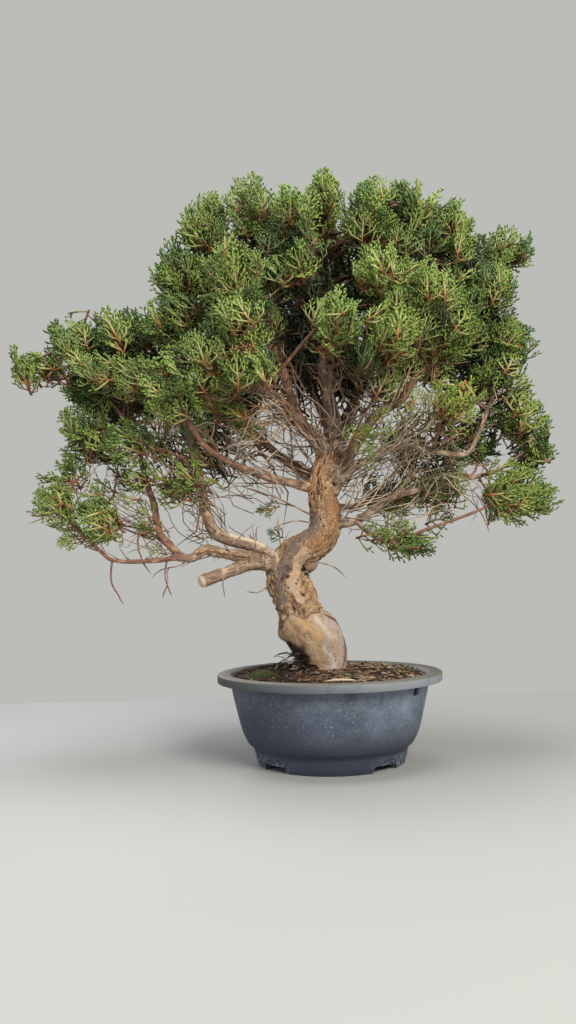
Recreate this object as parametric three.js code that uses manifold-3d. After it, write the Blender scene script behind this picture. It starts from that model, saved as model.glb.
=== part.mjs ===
// Kishu juniper bonsai in a round plastic training pot.
// Millimetres, +Z up. The tree's front faces -Y. Places are measured from the middle of the pot's
// underside until the last lines, which centre the whole plant on its own footprint.
import * as THREE from 'three';
import { mergeVertices } from 'three/addons/utils/BufferGeometryUtils.js';
import Module from 'manifold-3d';

const wasm = await Module();
wasm.setup();

// Driving dimensions of the pot
const RIM_RADIUS = 105;
const POT_HEIGHT = 82;
const RIM_BAND = 7.8;
const WALL = 2.8;
const FOOT_HEIGHT = 5.6;
const FOOT_RADIUS = 68.6;
const FOOT_WIDTH = 9;
const FLOOR = 3;
const DRAIN_RADIUS = 19;
const POT_TURN = THREE.MathUtils.degToRad(-4);
const FOOT_COUNT = 4;
const NOTCH_WIDTH = 31;
const NOTCH_SLOPE = 2.4;
const NOTCH_LENGTH = 40;
const POT_SIDES = 40;
const DRAIN_SIDES = 24;

// Two tie slots under the rim, opposite each other
const SLOT_WIDTH = 4.5;
const SLOT_HEIGHT = 7;
const SLOT_BELOW_RIM = 0.4;
const SLOT_CUT = 20;
const SLOT_ANGLE = THREE.MathUtils.degToRad(-32);

// What lies in the pot
const GAP = 0.3;
const WALL_GAP = 0.36;
const SCREEN_SIDE = 50;
const SCREEN_THICK = 1.2;
const SCREEN_HOLES = 5;
const SCREEN_HOLE = 7;
const SCREEN_PITCH = 9;
const CLIP_WIRE = 1.5;
const CLIP_INSET = 3;
const CLIP_FOOT = 11;
const CLIP_BEND = 2;
const CLIP_ROUND = 1.6;
const GRAVEL_TOP = 21;
const SOIL_EDGE = 79.5;
const SOIL_CROWN = 85.5;
const MOSS_THICK = 5;
const MOSS_SUNK = 1;
const MOSS_SIDES = 14;
const MOSS_RINGS = 8;

// The tree
const TRUNK_SIDES = 14;
const TRUNK_STEPS = 22;
const LIMB_SIDES = 6;
const TWIG_SIDES = 4;
const TWIG_STEPS = 3;
const TWIG_TIP = 1.4;
const TWIG_THICKEST = 2.6;
const TWIG_TO_LIMB = 0.85;
const TWIG_SAG = 0.12;
const ROOT_START = 8;
const ROOT_STEPS = 4;
const ROOT_RADII = [8, 2.5];

// The lumps of foliage: how deep and how close their bulges are, and how far past its smooth
// outline a lump counts as reaching when it is fitted to its neighbours
const BULGE = 0.07;
const BULGE_WAVES = [4.1, 3.7, 4.4];
const LUMP_REACH = 1.16;

const WELD = 1e-4;
const UP = new THREE.Vector3(0, 0, 1);

const FLOOR_TOP = FOOT_HEIGHT + FLOOR;
const SCREEN_TOP = FLOOR_TOP + GAP + SCREEN_THICK;

// Materials

function material(color, roughness, metalness = 0) {
  return new THREE.MeshStandardMaterial({ color, roughness, metalness });
}

const potPlastic = () => material('#555d69', 0.62);
const soilMix = () => material('#4a3427', 0.95);
const pumice = () => material('#b9a98c', 0.95);
const meshPlastic = () => material('#1f2022', 0.7);
const clipWire = () => material('#a8a9ab', 0.35, 1);
const mossGreen = () => material('#4f6a22', 0.95);
const juniperBark = () => material('#a07a58', 0.85);
const juniperFoliage = () => material('#4c7a2c', 0.7);

// Closed geometry to solid and back

function toSolid(geometry) {
  geometry.deleteAttribute('normal');
  geometry.deleteAttribute('uv');
  const merged = mergeVertices(geometry, WELD);
  return new wasm.Manifold(new wasm.Mesh({
    numProp: 3,
    vertProperties: new Float32Array(merged.attributes.position.array),
    triVerts: new Uint32Array(merged.index.array),
  }));
}

function toGeometry(solid) {
  const { vertProperties, triVerts } = solid.getMesh();
  const geometry = new THREE.BufferGeometry();
  geometry.setAttribute('position', new THREE.BufferAttribute(vertProperties, 3));
  geometry.setIndex(new THREE.BufferAttribute(triVerts, 1));
  geometry.computeVertexNormals();
  return geometry;
}

function largestPart(solid) {
  const parts = solid.decompose();
  return parts.reduce((best, next) => (next.volume() > best.volume() ? next : best));
}

function named(name, solid, finish) {
  const mesh = new THREE.Mesh(toGeometry(solid), finish);
  mesh.name = name;
  return mesh;
}

// A lathe's own axis is Y, and the pot's is Z.
function turned(profile, sides = POT_SIDES) {
  const outline = profile.map(([radius, height]) => new THREE.Vector2(radius, height));
  return toSolid(new THREE.LatheGeometry(outline, sides).rotateX(Math.PI / 2));
}

function box(width, depth, height, x, y, z, turn = 0) {
  const block = new THREE.BoxGeometry(width, depth, height).translate(x, y, z);
  return toSolid(block.rotateZ(turn));
}

// The pot: one moulding with a flanged rim, a rounded shoulder and four feet

const BAND_BOTTOM = POT_HEIGHT - RIM_BAND;

// Outside of the wall, from the shoulder to the rim band: radius and height
const OUTER_LINE = [[77, 19], [80.8, 25], [83.2, 32], [88.2, 52], [91, 64], [92.6, BAND_BOTTOM]];

// Inside of the wall, from the floor up
const INNER_LINE = [
  [66, FLOOR_TOP], [71, 12], ...OUTER_LINE.slice(1).map(([r, z]) => [r - WALL, z]),
];

function potSolid() {
  let pot = turned([
    [0, FOOT_HEIGHT], [FOOT_RADIUS - FOOT_WIDTH - 1, FOOT_HEIGHT],
    [FOOT_RADIUS - FOOT_WIDTH, 0], [FOOT_RADIUS, 0],
    [FOOT_RADIUS + 2.6, 10], [FOOT_RADIUS + 4, 16], ...OUTER_LINE,
    [RIM_RADIUS - 0.8, BAND_BOTTOM], [RIM_RADIUS, BAND_BOTTOM + 0.8],
    [RIM_RADIUS, POT_HEIGHT - 1], [RIM_RADIUS - 1, POT_HEIGHT],
    [93, POT_HEIGHT], [92.2, POT_HEIGHT - 1], ...INNER_LINE.toReversed(), [0, FLOOR_TOP],
  ]);
  pot = pot.subtract(turned([
    [0, -1], [DRAIN_RADIUS, -1], [DRAIN_RADIUS, FLOOR_TOP + 1], [0, FLOOR_TOP + 1],
  ], DRAIN_SIDES));
  for (let foot = 0; foot < FOOT_COUNT; foot += 1) {
    const turn = POT_TURN + Math.PI / FOOT_COUNT + (2 * Math.PI * foot) / FOOT_COUNT;
    pot = pot.subtract(notchSolid(turn));
  }
  for (const turn of [SLOT_ANGLE, SLOT_ANGLE + Math.PI]) {
    const height = BAND_BOTTOM - SLOT_BELOW_RIM - SLOT_HEIGHT / 2;
    const radius = innerRadius(height);
    pot = pot.subtract(box(SLOT_CUT, SLOT_WIDTH, SLOT_HEIGHT, radius, 0, height, turn));
  }
  return pot;
}

function innerRadius(height) {
  const above = INNER_LINE.findIndex(([, z]) => z >= height);
  const [[lowR, lowZ], [highR, highZ]] = [INNER_LINE[above - 1], INNER_LINE[above]];
  return THREE.MathUtils.mapLinear(height, lowZ, highZ, lowR, highR);
}

// The side of a layer that fills the pot between two heights, just clear of the wall
function fillLine(bottom, top) {
  const between = INNER_LINE.filter(([, z]) => z > bottom && z < top);
  const line = [[innerRadius(bottom), bottom], ...between, [innerRadius(top), top]];
  return line.map(([radius, height]) => [radius - WALL_GAP, height]);
}

// A notch between two feet, wider at the bottom
function notchSolid(turn) {
  const half = NOTCH_WIDTH / 2;
  const top = half - NOTCH_SLOPE;
  const outline = new THREE.Shape([
    new THREE.Vector2(-half, -1), new THREE.Vector2(half, -1),
    new THREE.Vector2(top, FOOT_HEIGHT), new THREE.Vector2(-top, FOOT_HEIGHT),
  ]);
  const notch = new THREE.ExtrudeGeometry(outline, { depth: NOTCH_LENGTH, bevelEnabled: false });
  notch.rotateX(Math.PI / 2).rotateZ(Math.PI / 2).translate(FOOT_RADIUS - NOTCH_LENGTH / 2, 0, 0);
  return toSolid(notch.rotateZ(turn));
}

// Drain screen, its wire clip and the drainage layer

function screenSolid() {
  const middle = FLOOR_TOP + GAP + SCREEN_THICK / 2;
  const reach = (SCREEN_HOLES - 1) / 2;
  let screen = box(SCREEN_SIDE, SCREEN_SIDE, SCREEN_THICK, 0, 0, middle);
  for (let row = -reach; row <= reach; row += 1) {
    for (let column = -reach; column <= reach; column += 1) {
      const [x, y] = [column * SCREEN_PITCH, row * SCREEN_PITCH];
      screen = screen.subtract(box(SCREEN_HOLE, SCREEN_HOLE, 4 * SCREEN_THICK, x, y, middle));
    }
  }
  return screen;
}

function clipPath() {
  const legX = DRAIN_RADIUS - CLIP_INSET;
  const over = SCREEN_TOP + GAP + CLIP_WIRE / 2;
  const under = FOOT_HEIGHT - GAP - CLIP_WIRE / 2;
  const corners = [
    [-legX - CLIP_FOOT, 0, under], [-legX - CLIP_BEND, 0, under],
    [-legX, 0, under + CLIP_ROUND], [-legX, 0, over - CLIP_ROUND],
    [-legX + CLIP_ROUND, 0, over], [0, 0, over], [legX - CLIP_ROUND, 0, over],
    [legX, 0, over - CLIP_ROUND], [legX, 0, under + CLIP_ROUND],
    [legX + CLIP_BEND, 0, under], [legX + CLIP_FOOT, 0, under],
  ];
  return new THREE.CatmullRomCurve3(corners.map((p) => new THREE.Vector3(...p)), false, 'centripetal');
}

function clipSolid(swell = 0) {
  const section = new THREE.Shape();
  section.absarc(0, 0, CLIP_WIRE / 2 + swell, 0, 2 * Math.PI);
  return toSolid(new THREE.ExtrudeGeometry(section, {
    steps: 26, curveSegments: 3, bevelEnabled: false, extrudePath: clipPath(),
  }));
}

function gravelSolid() {
  const bottom = FLOOR_TOP + GAP;
  const layer = turned([[0, bottom], ...fillLine(bottom, GRAVEL_TOP), [0, GRAVEL_TOP]]);
  const side = SCREEN_SIDE + 2 * GAP;
  const recessTop = SCREEN_TOP + GAP;
  const recess = box(side, side, 2 * (recessTop - FLOOR_TOP), 0, 0, FLOOR_TOP);
  return layer.subtract(recess).subtract(clipSolid(GAP));
}

// Bent, tapering stem: a cylinder laid along a curve. Swell makes it larger all round, which is
// how a seat is cut for it in its neighbours.

function stemCurve(points) {
  return new THREE.CatmullRomCurve3(points.map((p) => new THREE.Vector3(...p)));
}

function stemSolid(points, radii, sides, steps, swell = 0) {
  const path = stemCurve(points);
  const widths = new THREE.CatmullRomCurve3(radii.map((r) => new THREE.Vector3(r, 0, 0)));
  const frames = path.computeFrenetFrames(steps);
  const stem = new THREE.CylinderGeometry(1, 1, steps, sides, steps);
  const position = stem.attributes.position;
  const corner = new THREE.Vector3();
  for (let i = 0; i < position.count; i += 1) {
    corner.fromBufferAttribute(position, i);
    const step = Math.round(corner.y + steps / 2);
    const along = step / steps;
    const radius = widths.getPoint(path.getUtoTmapping(along)).x + swell;
    const middle = path.getPointAt(along);
    if (step === 0) middle.addScaledVector(frames.tangents[step], -swell);
    if (step === steps) middle.addScaledVector(frames.tangents[step], swell);
    middle.addScaledVector(frames.normals[step], corner.x * radius);
    middle.addScaledVector(frames.binormals[step], -corner.z * radius);
    position.setXYZ(i, middle.x, middle.y, middle.z);
  }
  return toSolid(stem);
}

// The trunk: x, y, z and radius from the buried butt, round both bends, to the first fork
const TRUNK = [
  [-4, 2, 64, 24], [-3, 1, 74, 25], [-4, 0, 84, 25], [-6, -1, 94, 24.6], [-11, -3, 105, 25],
  [-18, -5, 116, 25], [-25, -5, 128, 22.5], [-28, -3, 140, 19.6], [-30, 0, 151, 20.6],
  [-36, 3, 164, 20.2], [-38, 4, 177, 18.4], [-32, 3, 190, 17], [-19, 1, 198, 16],
  [-7, 0, 206, 15.6], [-1, 1, 217, 15.2], [0, 2, 231, 14.8], [-2, 2, 246, 13.8],
  [-2, 2, 260, 13.4], [1, 1, 272, 13.4], [5, 1, 283, 12],
];

// Limbs: points from the root of the limb outward, then its radius at each end
const LIMBS = {
  up_left: {
    points: [
      [5, 0, 272], [-4, -6, 299], [-17, -12, 309], [-26, -18, 320], [-43, -28, 336],
      [-55, -38, 344], [-68, -50, 353], [-76, -60, 368], [-80, -70, 392], [-84, -72, 425],
    ],
    radii: [8.5, 2.4],
  },
  leader: {
    points: [
      [5, 1, 274], [11, 4, 305], [9, 8, 325], [7, 12, 345], [5, 16, 375], [2, 18, 406],
      [-1, 16, 442], [-1, 12, 476], [2, 6, 508], [5, 2, 530],
    ],
    radii: [9.5, 2.2],
  },
  crown_left: {
    points: [
      [-24, -17, 318], [-30, 6, 345], [-38, 28, 380], [-54, 32, 418], [-76, 28, 453],
      [-94, 8, 480], [-104, -10, 503],
    ],
    radii: [5.2, 2.2],
  },
  right_upper: {
    points: [
      [7, 0, 263], [20, -4, 280], [31, -10, 297], [51, -18, 323], [74, -24, 336],
      [85, -30, 352], [101, -36, 368], [110, -42, 390], [104, -50, 420],
    ],
    radii: [7, 2.2],
  },
  right_back: {
    points: [
      [9, 4, 290], [23, 20, 315], [34, 36, 349], [50, 48, 383], [77, 54, 423],
      [108, 50, 461], [128, 36, 490],
    ],
    radii: [6.4, 2.2],
  },
  back: {
    points: [
      [8, 8, 312], [2, 32, 335], [-6, 58, 362], [-10, 80, 396], [-14, 90, 440],
      [-16, 88, 485], [-14, 84, 506],
    ],
    radii: [6.2, 2.2],
  },
  back_right: {
    points: [[0, 41, 345], [28, 62, 372], [60, 80, 398], [96, 90, 420], [108, 88, 455]],
    radii: [4.4, 2.2],
  },
  right_tier: {
    points: [
      [8, 0, 251], [24, -8, 270], [50, -14, 284], [80, -18, 292], [108, -20, 285],
      [131, -20, 282], [142, -18, 294], [153, -16, 318], [164, -12, 345], [174, -6, 380],
    ],
    radii: [5.4, 1.9],
  },
  right_low: {
    points: [
      [8, 0, 220], [30, -6, 223], [47, -8, 234], [71, -4, 247], [102, 2, 254],
      [138, 4, 262], [168, 4, 270], [198, 6, 290],
    ],
    radii: [5.2, 1.9],
  },
  right_drop: {
    points: [[29, -6, 223], [37, -14, 213], [49, -20, 204], [62, -24, 199], [78, -25, 198]],
    radii: [3, 1.8],
  },
  right_cane: {
    points: [
      [56, -22, 201], [72, -26, 204], [89, -28, 211], [120, -30, 221], [139, -30, 228],
      [170, -24, 240],
    ],
    radii: [2.6, 1.7],
  },
  long_left: {
    points: [
      [-10, -2, 255], [-37, -12, 261], [-57, -22, 265], [-73, -32, 270], [-88, -44, 276],
      [-106, -58, 286], [-117, -70, 300], [-127, -82, 322],
    ],
    radii: [4.6, 2],
  },
  back_left: {
    points: [
      [-6, 6, 262], [-22, 28, 276], [-44, 52, 296], [-72, 74, 326], [-97, 86, 356],
      [-114, 82, 400], [-120, 74, 450],
    ],
    radii: [5, 2.1],
  },
  back_low: {
    points: [[2, 8, 240], [24, 34, 240], [48, 54, 246], [70, 64, 252]],
    radii: [4, 1.8],
  },
  low_left: {
    points: [
      [-44, 0, 183], [-65, -11, 199], [-85, -22, 205], [-102, -32, 212], [-110, -38, 229],
      [-114, -40, 250], [-120, -34, 278], [-128, -26, 310], [-138, -20, 345], [-142, -20, 395],
    ],
    radii: [7, 2.3],
  },
  gnarled: {
    points: [
      [-46, -2, 180], [-67, -18, 189], [-81, -32, 191], [-99, -44, 194], [-111, -52, 196],
      [-122, -58, 189], [-136, -60, 191],
    ],
    radii: [6.6, 4],
  },
  reaching: {
    points: [
      [-130, -60, 190], [-158, -62, 187], [-189, -62, 188], [-201, -60, 196],
      [-219, -58, 212], [-233, -55, 227],
    ],
    radii: [3.4, 1.7],
  },
  riser: {
    points: [
      [-131, -60, 190], [-143, -56, 203], [-152, -50, 214], [-157, -42, 238],
      [-166, -34, 263], [-174, -26, 294], [-188, -20, 321], [-206, -12, 344],
      [-222, -14, 366],
    ],
    radii: [4.6, 2.1],
  },
  cut_stub: {
    points: [[-56, -10, 184], [-74, -26, 183], [-92, -42, 176], [-114, -56, 168]],
    radii: [6, 5.6],
  },
};

// Roots under the soil: direction in degrees and reach
const ROOTS = [[200, 58], [262, 50], [325, 60], [35, 52], [110, 56]];

// Foliage masses: middle, half sizes, then the limb that carries the mass and how far along it
const MASSES = {
  left_tip: [[-260, -30, 375], [35, 20, 17], 'riser', 1],
  left_shoulder: [[-231, -10, 398], [26, 26, 26], 'riser', 0.95],
  left_knob: [[-190, 0, 407], [27, 28, 28], 'riser', 0.8],
  left_core: [[-216, 10, 361], [37, 34, 25], 'riser', 0.88],
  left_front_fan: [[-132, -90, 336], [27, 26, 34], 'long_left', 0.97],
  left_lower: [[-224, -20, 314], [26, 28, 30], 'riser', 0.72],
  left_mid_fan: [[-179, -60, 295], [26, 24, 21], 'riser', 0.5],
  left_hang: [[-245, -50, 244], [21, 22, 30], 'reaching', 1],
  left_hang_tip: [[-206, -60, 222], [19, 18, 23], 'reaching', 0.8],
  left_inner: [[-133, -60, 257], [25, 22, 20], 'low_left', 0.4],
  left_back: [[-189, 66, 367], [48, 40, 34], 'riser', 0.75],
  crown_left_top: [[-107, -20, 509], [25, 32, 32], 'crown_left', 1],
  crown_left_side: [[-136, -20, 461], [25, 32, 31], 'crown_left', 0.85],
  crown_left_low: [[-141, -30, 409], [26, 28, 26], 'low_left', 0.95],
  crown_left_back: [[-118, 70, 474], [46, 46, 46], 'back_left', 0.97],
  crown_front_left: [[-81, -70, 441], [30, 30, 30], 'up_left', 1],
  front_fan_upper: [[-75, -90, 392], [26, 26, 23], 'up_left', 0.88],
  front_fan_lower: [[-67, -100, 348], [25, 24, 22], 'up_left', 0.62],
  front_fan_left: [[-105, -92, 368], [20, 22, 22], 'up_left', 0.74],
  crown_top_left: [[-66, -35, 513], [27, 40, 30], 'crown_left', 0.78],
  crown_top: [[-26, -38, 509], [23, 38, 28], 'leader', 0.82],
  crown_peak: [[6, -4, 540], [21, 36, 31], 'leader', 0.97],
  crown_sprig: [[-20, -60, 456], [23, 20, 16], 'leader', 0.66],
  crown_front_mid: [[11, -92, 392], [24, 28, 30], 'leader', 0.42],
  crown_top_right: [[45, -38, 508], [27, 40, 31], 'leader', 0.85],
  crown_right_top: [[86, -20, 517], [25, 38, 32], 'right_back', 0.95],
  crown_front_right: [[51, -70, 445], [26, 28, 26], 'right_upper', 0.92],
  crown_right_shoulder: [[124, -10, 501], [26, 38, 33], 'right_back', 1],
  right_wing: [[186, 0, 488], [26, 26, 19], 'right_back', 0.95],
  crown_right_mid: [[93, -60, 429], [30, 30, 28], 'right_upper', 1],
  crown_right_side: [[155, -14, 442], [31, 36, 31], 'right_back', 0.82],
  crown_right_low: [[58, -88, 384], [25, 24, 22], 'right_upper', 0.72],
  right_body: [[119, -42, 399], [27, 30, 32], 'right_upper', 0.85],
  right_tier_top: [[183, 0, 399], [27, 28, 23], 'right_tier', 1],
  right_tier_mid: [[167, -12, 357], [30, 28, 21], 'right_tier', 0.88],
  right_yellow: [[119, -68, 327], [24, 22, 21], 'right_tier', 0.62],
  right_tier_low: [[188, -5, 322], [27, 28, 25], 'right_tier', 0.76],
  right_knob: [[209, 10, 297], [21, 24, 22], 'right_low', 1],
  right_inner: [[160, 28, 303], [26, 28, 28], 'right_low', 0.82],
  right_low_mass: [[182, -20, 244], [34, 34, 30], 'right_cane', 0.97],
  right_under: [[115, 28, 252], [24, 22, 20], 'right_low', 0.6],
  right_deep: [[73, 66, 254], [34, 26, 23], 'back_low', 1],
  drop_fan: [[78, -25, 196], [24, 20, 17], 'right_drop', 0.95],
  crown_back_top: [[-16, 82, 515], [60, 50, 44], 'back', 0.97],
  crown_back_right: [[91, 82, 490], [56, 50, 48], 'back_right', 1],
  back_low_right: [[136, 98, 411], [48, 44, 42], 'back_right', 0.8],
  back_mid: [[-5, 112, 424], [52, 42, 42], 'back', 0.7],
  back_low_left: [[-98, 94, 369], [42, 36, 32], 'back_left', 0.7],
};

// Wood: the trunk, roots, limbs and one twig to each foliage mass grow as one piece.

function trunkSolid(swell) {
  const points = TRUNK.map(([x, y, z]) => [x, y, z]);
  return stemSolid(points, TRUNK.map((place) => place[3]), TRUNK_SIDES, TRUNK_STEPS, swell);
}

// A root leaves the butt and dips as it spreads: share of its reach, then height
const ROOT_DIP = [[0, 78], [0.35, 74], [0.7, 67], [1, 57]];

function rootPoints(degrees, reach) {
  const turn = THREE.MathUtils.degToRad(degrees);
  const [[buttX, buttY]] = TRUNK;
  return ROOT_DIP.map(([share, height]) => {
    const out = ROOT_START + share * reach;
    return [buttX + Math.cos(turn) * out, buttY + Math.sin(turn) * out, height];
  });
}

// A twig leaves its limb, sags a little and then rises to the middle of the mass that it carries.
function twigPoints([middle, , carrier, along]) {
  const start = stemCurve(LIMBS[carrier].points).getPointAt(along);
  const end = new THREE.Vector3(...middle);
  const sag = start.distanceTo(end) * TWIG_SAG;
  const bend = start.clone().lerp(end, 0.5).addScaledVector(UP, -sag);
  return [start.toArray(), bend.toArray(), end.toArray()];
}

function twigRadius([, , carrier, along]) {
  const [first, last] = LIMBS[carrier].radii;
  const wanted = THREE.MathUtils.lerp(first, last, along) * TWIG_TO_LIMB;
  return THREE.MathUtils.clamp(wanted, TWIG_TIP, TWIG_THICKEST);
}

function woodSolid(swell = 0) {
  const stems = [trunkSolid(swell)];
  for (const [degrees, reach] of ROOTS) {
    stems.push(stemSolid(rootPoints(degrees, reach), ROOT_RADII, LIMB_SIDES, ROOT_STEPS, swell));
  }
  for (const { points, radii } of Object.values(LIMBS)) {
    stems.push(stemSolid(points, radii, LIMB_SIDES, points.length, swell));
  }
  for (const mass of Object.values(MASSES)) {
    const radii = [twigRadius(mass), TWIG_TIP];
    stems.push(stemSolid(twigPoints(mass), radii, TWIG_SIDES, TWIG_STEPS, swell));
  }
  return stems.reduce((whole, stem) => whole.add(stem));
}

// Foliage: each mass is a lumpy ball. Neighbours meet at a plane between them, with a gap.

function lumpSolid([middle, size], order) {
  const lump = new THREE.IcosahedronGeometry(1, 1);
  const position = lump.attributes.position;
  const corner = new THREE.Vector3();
  const [waveX, waveY, waveZ] = BULGE_WAVES;
  for (let i = 0; i < position.count; i += 1) {
    corner.fromBufferAttribute(position, i);
    const ripple = Math.sin(waveX * corner.x + order) * Math.cos(waveY * corner.y - order)
      + Math.sin(waveZ * corner.z + 2 * order);
    corner.multiplyScalar(1 + BULGE * ripple);
    position.setXYZ(i, corner.x, corner.y, corner.z);
  }
  return toSolid(lump.scale(...size).translate(...middle));
}

function reachToward(size, direction) {
  const [x, y, z] = size;
  return 1 / Math.hypot(direction.x / x, direction.y / y, direction.z / z);
}

function trimToNeighbours(lump, mass, others) {
  const [middle, size] = mass;
  const here = new THREE.Vector3(...middle);
  let trimmed = lump;
  for (const [otherMiddle, otherSize] of others) {
    const inward = here.clone().sub(new THREE.Vector3(...otherMiddle));
    const distance = inward.length();
    inward.normalize();
    const mine = reachToward(size, inward) * LUMP_REACH;
    const theirs = reachToward(otherSize, inward) * LUMP_REACH;
    if (mine + theirs > distance) {
      const edge = (distance * mine) / (mine + theirs) - GAP;
      trimmed = trimmed.trimByPlane(inward.toArray(), inward.dot(here) - edge);
    }
  }
  return trimmed;
}

function foliageMeshes(cutter) {
  const masses = Object.entries(MASSES);
  return masses.map(([name, mass], order) => {
    const others = masses.filter(([other]) => other !== name).map(([, other]) => other);
    const lump = trimToNeighbours(lumpSolid(mass, order), mass, others);
    return named(`foliage_${name}`, largestPart(lump.subtract(cutter)), juniperFoliage());
  });
}

// Soil and moss

const SOIL_SIDE = BAND_BOTTOM - 0.1;
const SOIL_RINGS = [89.6, 70, 50, 30, 15, 0];

function soilHeight(radius) {
  const share = Math.min(1, radius / SOIL_RINGS[0]);
  return THREE.MathUtils.lerp(SOIL_CROWN, SOIL_EDGE, share * share);
}

function soilSolid(cutter) {
  const bottom = GRAVEL_TOP + GAP;
  const surface = SOIL_RINGS.map((radius) => [radius, soilHeight(radius)]);
  const soil = turned([[0, bottom], ...fillLine(bottom, SOIL_SIDE), ...surface]);
  return largestPart(soil.subtract(cutter));
}

const MOSS = {
  moss_left: [[-62, -14], [20, 30]],
  moss_right: [[72, 4], [12, 26]],
  moss_front: [[14, -44], [17, 9]],
};

function mossSolid([x, y], [width, depth], ground, cutter) {
  const cushion = new THREE.SphereGeometry(1, MOSS_SIDES, MOSS_RINGS);
  const height = soilHeight(Math.hypot(x, y));
  cushion.scale(width, depth, MOSS_THICK).translate(x, y, height - MOSS_SUNK);
  return largestPart(toSolid(cushion).subtract(ground).subtract(cutter));
}

// The same soil surface raised by the gap, so that moss is cut to lie just above it
function raisedGround() {
  const surface = [RIM_RADIUS, ...SOIL_RINGS].map((radius) => [radius, soilHeight(radius) + GAP]);
  return turned([[0, 0], [RIM_RADIUS, 0], ...surface]);
}

// Assembly

const plant = new THREE.Group();
const wood = woodSolid();
const woodCutter = woodSolid(GAP);
const ground = raisedGround();

plant.add(named('pot', potSolid(), potPlastic()));
plant.add(named('drain_screen', screenSolid(), meshPlastic()));
plant.add(named('screen_clip', clipSolid(), clipWire()));
plant.add(named('drainage_gravel', gravelSolid(), pumice()));
plant.add(named('soil', soilSolid(woodCutter), soilMix()));
for (const [name, [place, size]] of Object.entries(MOSS)) {
  plant.add(named(name, mossSolid(place, size, ground, woodCutter), mossGreen()));
}
plant.add(named('trunk_and_limbs', largestPart(wood), juniperBark()));
foliageMeshes(woodCutter).forEach((mesh) => plant.add(mesh));

// The origin is under the middle of the plant's footprint, at the height that the pot stands on.
const footprint = new THREE.Box3().setFromObject(plant);
const centre = footprint.getCenter(new THREE.Vector3());
plant.position.set(-centre.x, -centre.y, 0);

export default plant;
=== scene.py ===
"""Kishu juniper bonsai: pot, soil, trunk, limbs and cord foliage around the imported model."""
import math
import random
from dataclasses import dataclass

import bmesh
import bpy
import numpy as np
from bpy.props import FloatProperty, FloatVectorProperty, IntProperty, PointerProperty
from bpy.types import Operator, Panel, PropertyGroup
from mathutils import Matrix, Vector, noise
from mathutils.bvhtree import BVHTree


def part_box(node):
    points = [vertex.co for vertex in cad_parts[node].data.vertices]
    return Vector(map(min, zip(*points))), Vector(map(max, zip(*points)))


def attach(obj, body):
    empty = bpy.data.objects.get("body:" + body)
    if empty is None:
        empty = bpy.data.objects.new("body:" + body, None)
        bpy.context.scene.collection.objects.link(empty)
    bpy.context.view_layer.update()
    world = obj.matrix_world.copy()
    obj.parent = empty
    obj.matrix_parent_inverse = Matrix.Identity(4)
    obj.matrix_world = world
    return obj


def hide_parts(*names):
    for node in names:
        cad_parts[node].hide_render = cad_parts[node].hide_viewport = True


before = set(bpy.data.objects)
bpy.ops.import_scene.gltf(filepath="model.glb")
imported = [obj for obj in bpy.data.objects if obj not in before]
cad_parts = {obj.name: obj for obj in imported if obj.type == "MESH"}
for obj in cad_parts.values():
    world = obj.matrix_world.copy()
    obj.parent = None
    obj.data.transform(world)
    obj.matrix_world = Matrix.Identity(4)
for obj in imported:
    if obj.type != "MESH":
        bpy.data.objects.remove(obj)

bl_info = {
    "name": "Kishu Juniper Bonsai",
    "version": (1, 0, 0),
    "blender": (4, 5, 0),
    "location": "View3D > Sidebar > Bonsai",
    "description": "Grows a kishu juniper bonsai in its round training pot",
    "category": "Add Mesh",
}

# Lengths below are millimetres from the middle of the pot's underside, unless a name says metres.
MM = 0.001
UP = Vector((0, 0, 1))
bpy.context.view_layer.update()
# Seeds of the random draws, and of the noise that makes the patches of bark ragged
SEEDS = {"soil": 11, "litter": 23, "scars": 31, "twigs": 47, "sprays": 5, "patches": 3}

POT_LOW, POT_HIGH = (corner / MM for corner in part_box("pot"))
POT_AXIS = Vector(((POT_LOW.x + POT_HIGH.x) / 2, (POT_LOW.y + POT_HIGH.y) / 2, 0))
POT_HEIGHT = POT_HIGH.z
RIM_RADIUS = (POT_HIGH.x - POT_LOW.x) / 2
SOIL_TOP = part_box("soil")[1].z / MM

# The trunk from the buried butt to the first fork: x, y, z and radius
TRUNK = (
    (-4, 2, 64, 24), (-3, 1, 74, 25), (-4, 0, 84, 25), (-6, -1, 94, 24.6), (-11, -3, 105, 25),
    (-18, -5, 116, 25), (-25, -5, 128, 22.5), (-28, -3, 140, 19.6), (-30, 0, 151, 20.6),
    (-36, 3, 164, 20.2), (-38, 4, 177, 18.4), (-32, 3, 190, 17), (-19, 1, 198, 16),
    (-7, 0, 206, 15.6), (-1, 1, 217, 15.2), (0, 2, 231, 14.8), (-2, 2, 246, 13.8),
    (-2, 2, 260, 13.4), (1, 1, 272, 13.4), (5, 1, 283, 12), (7, 2, 292, 7),
)

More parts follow.
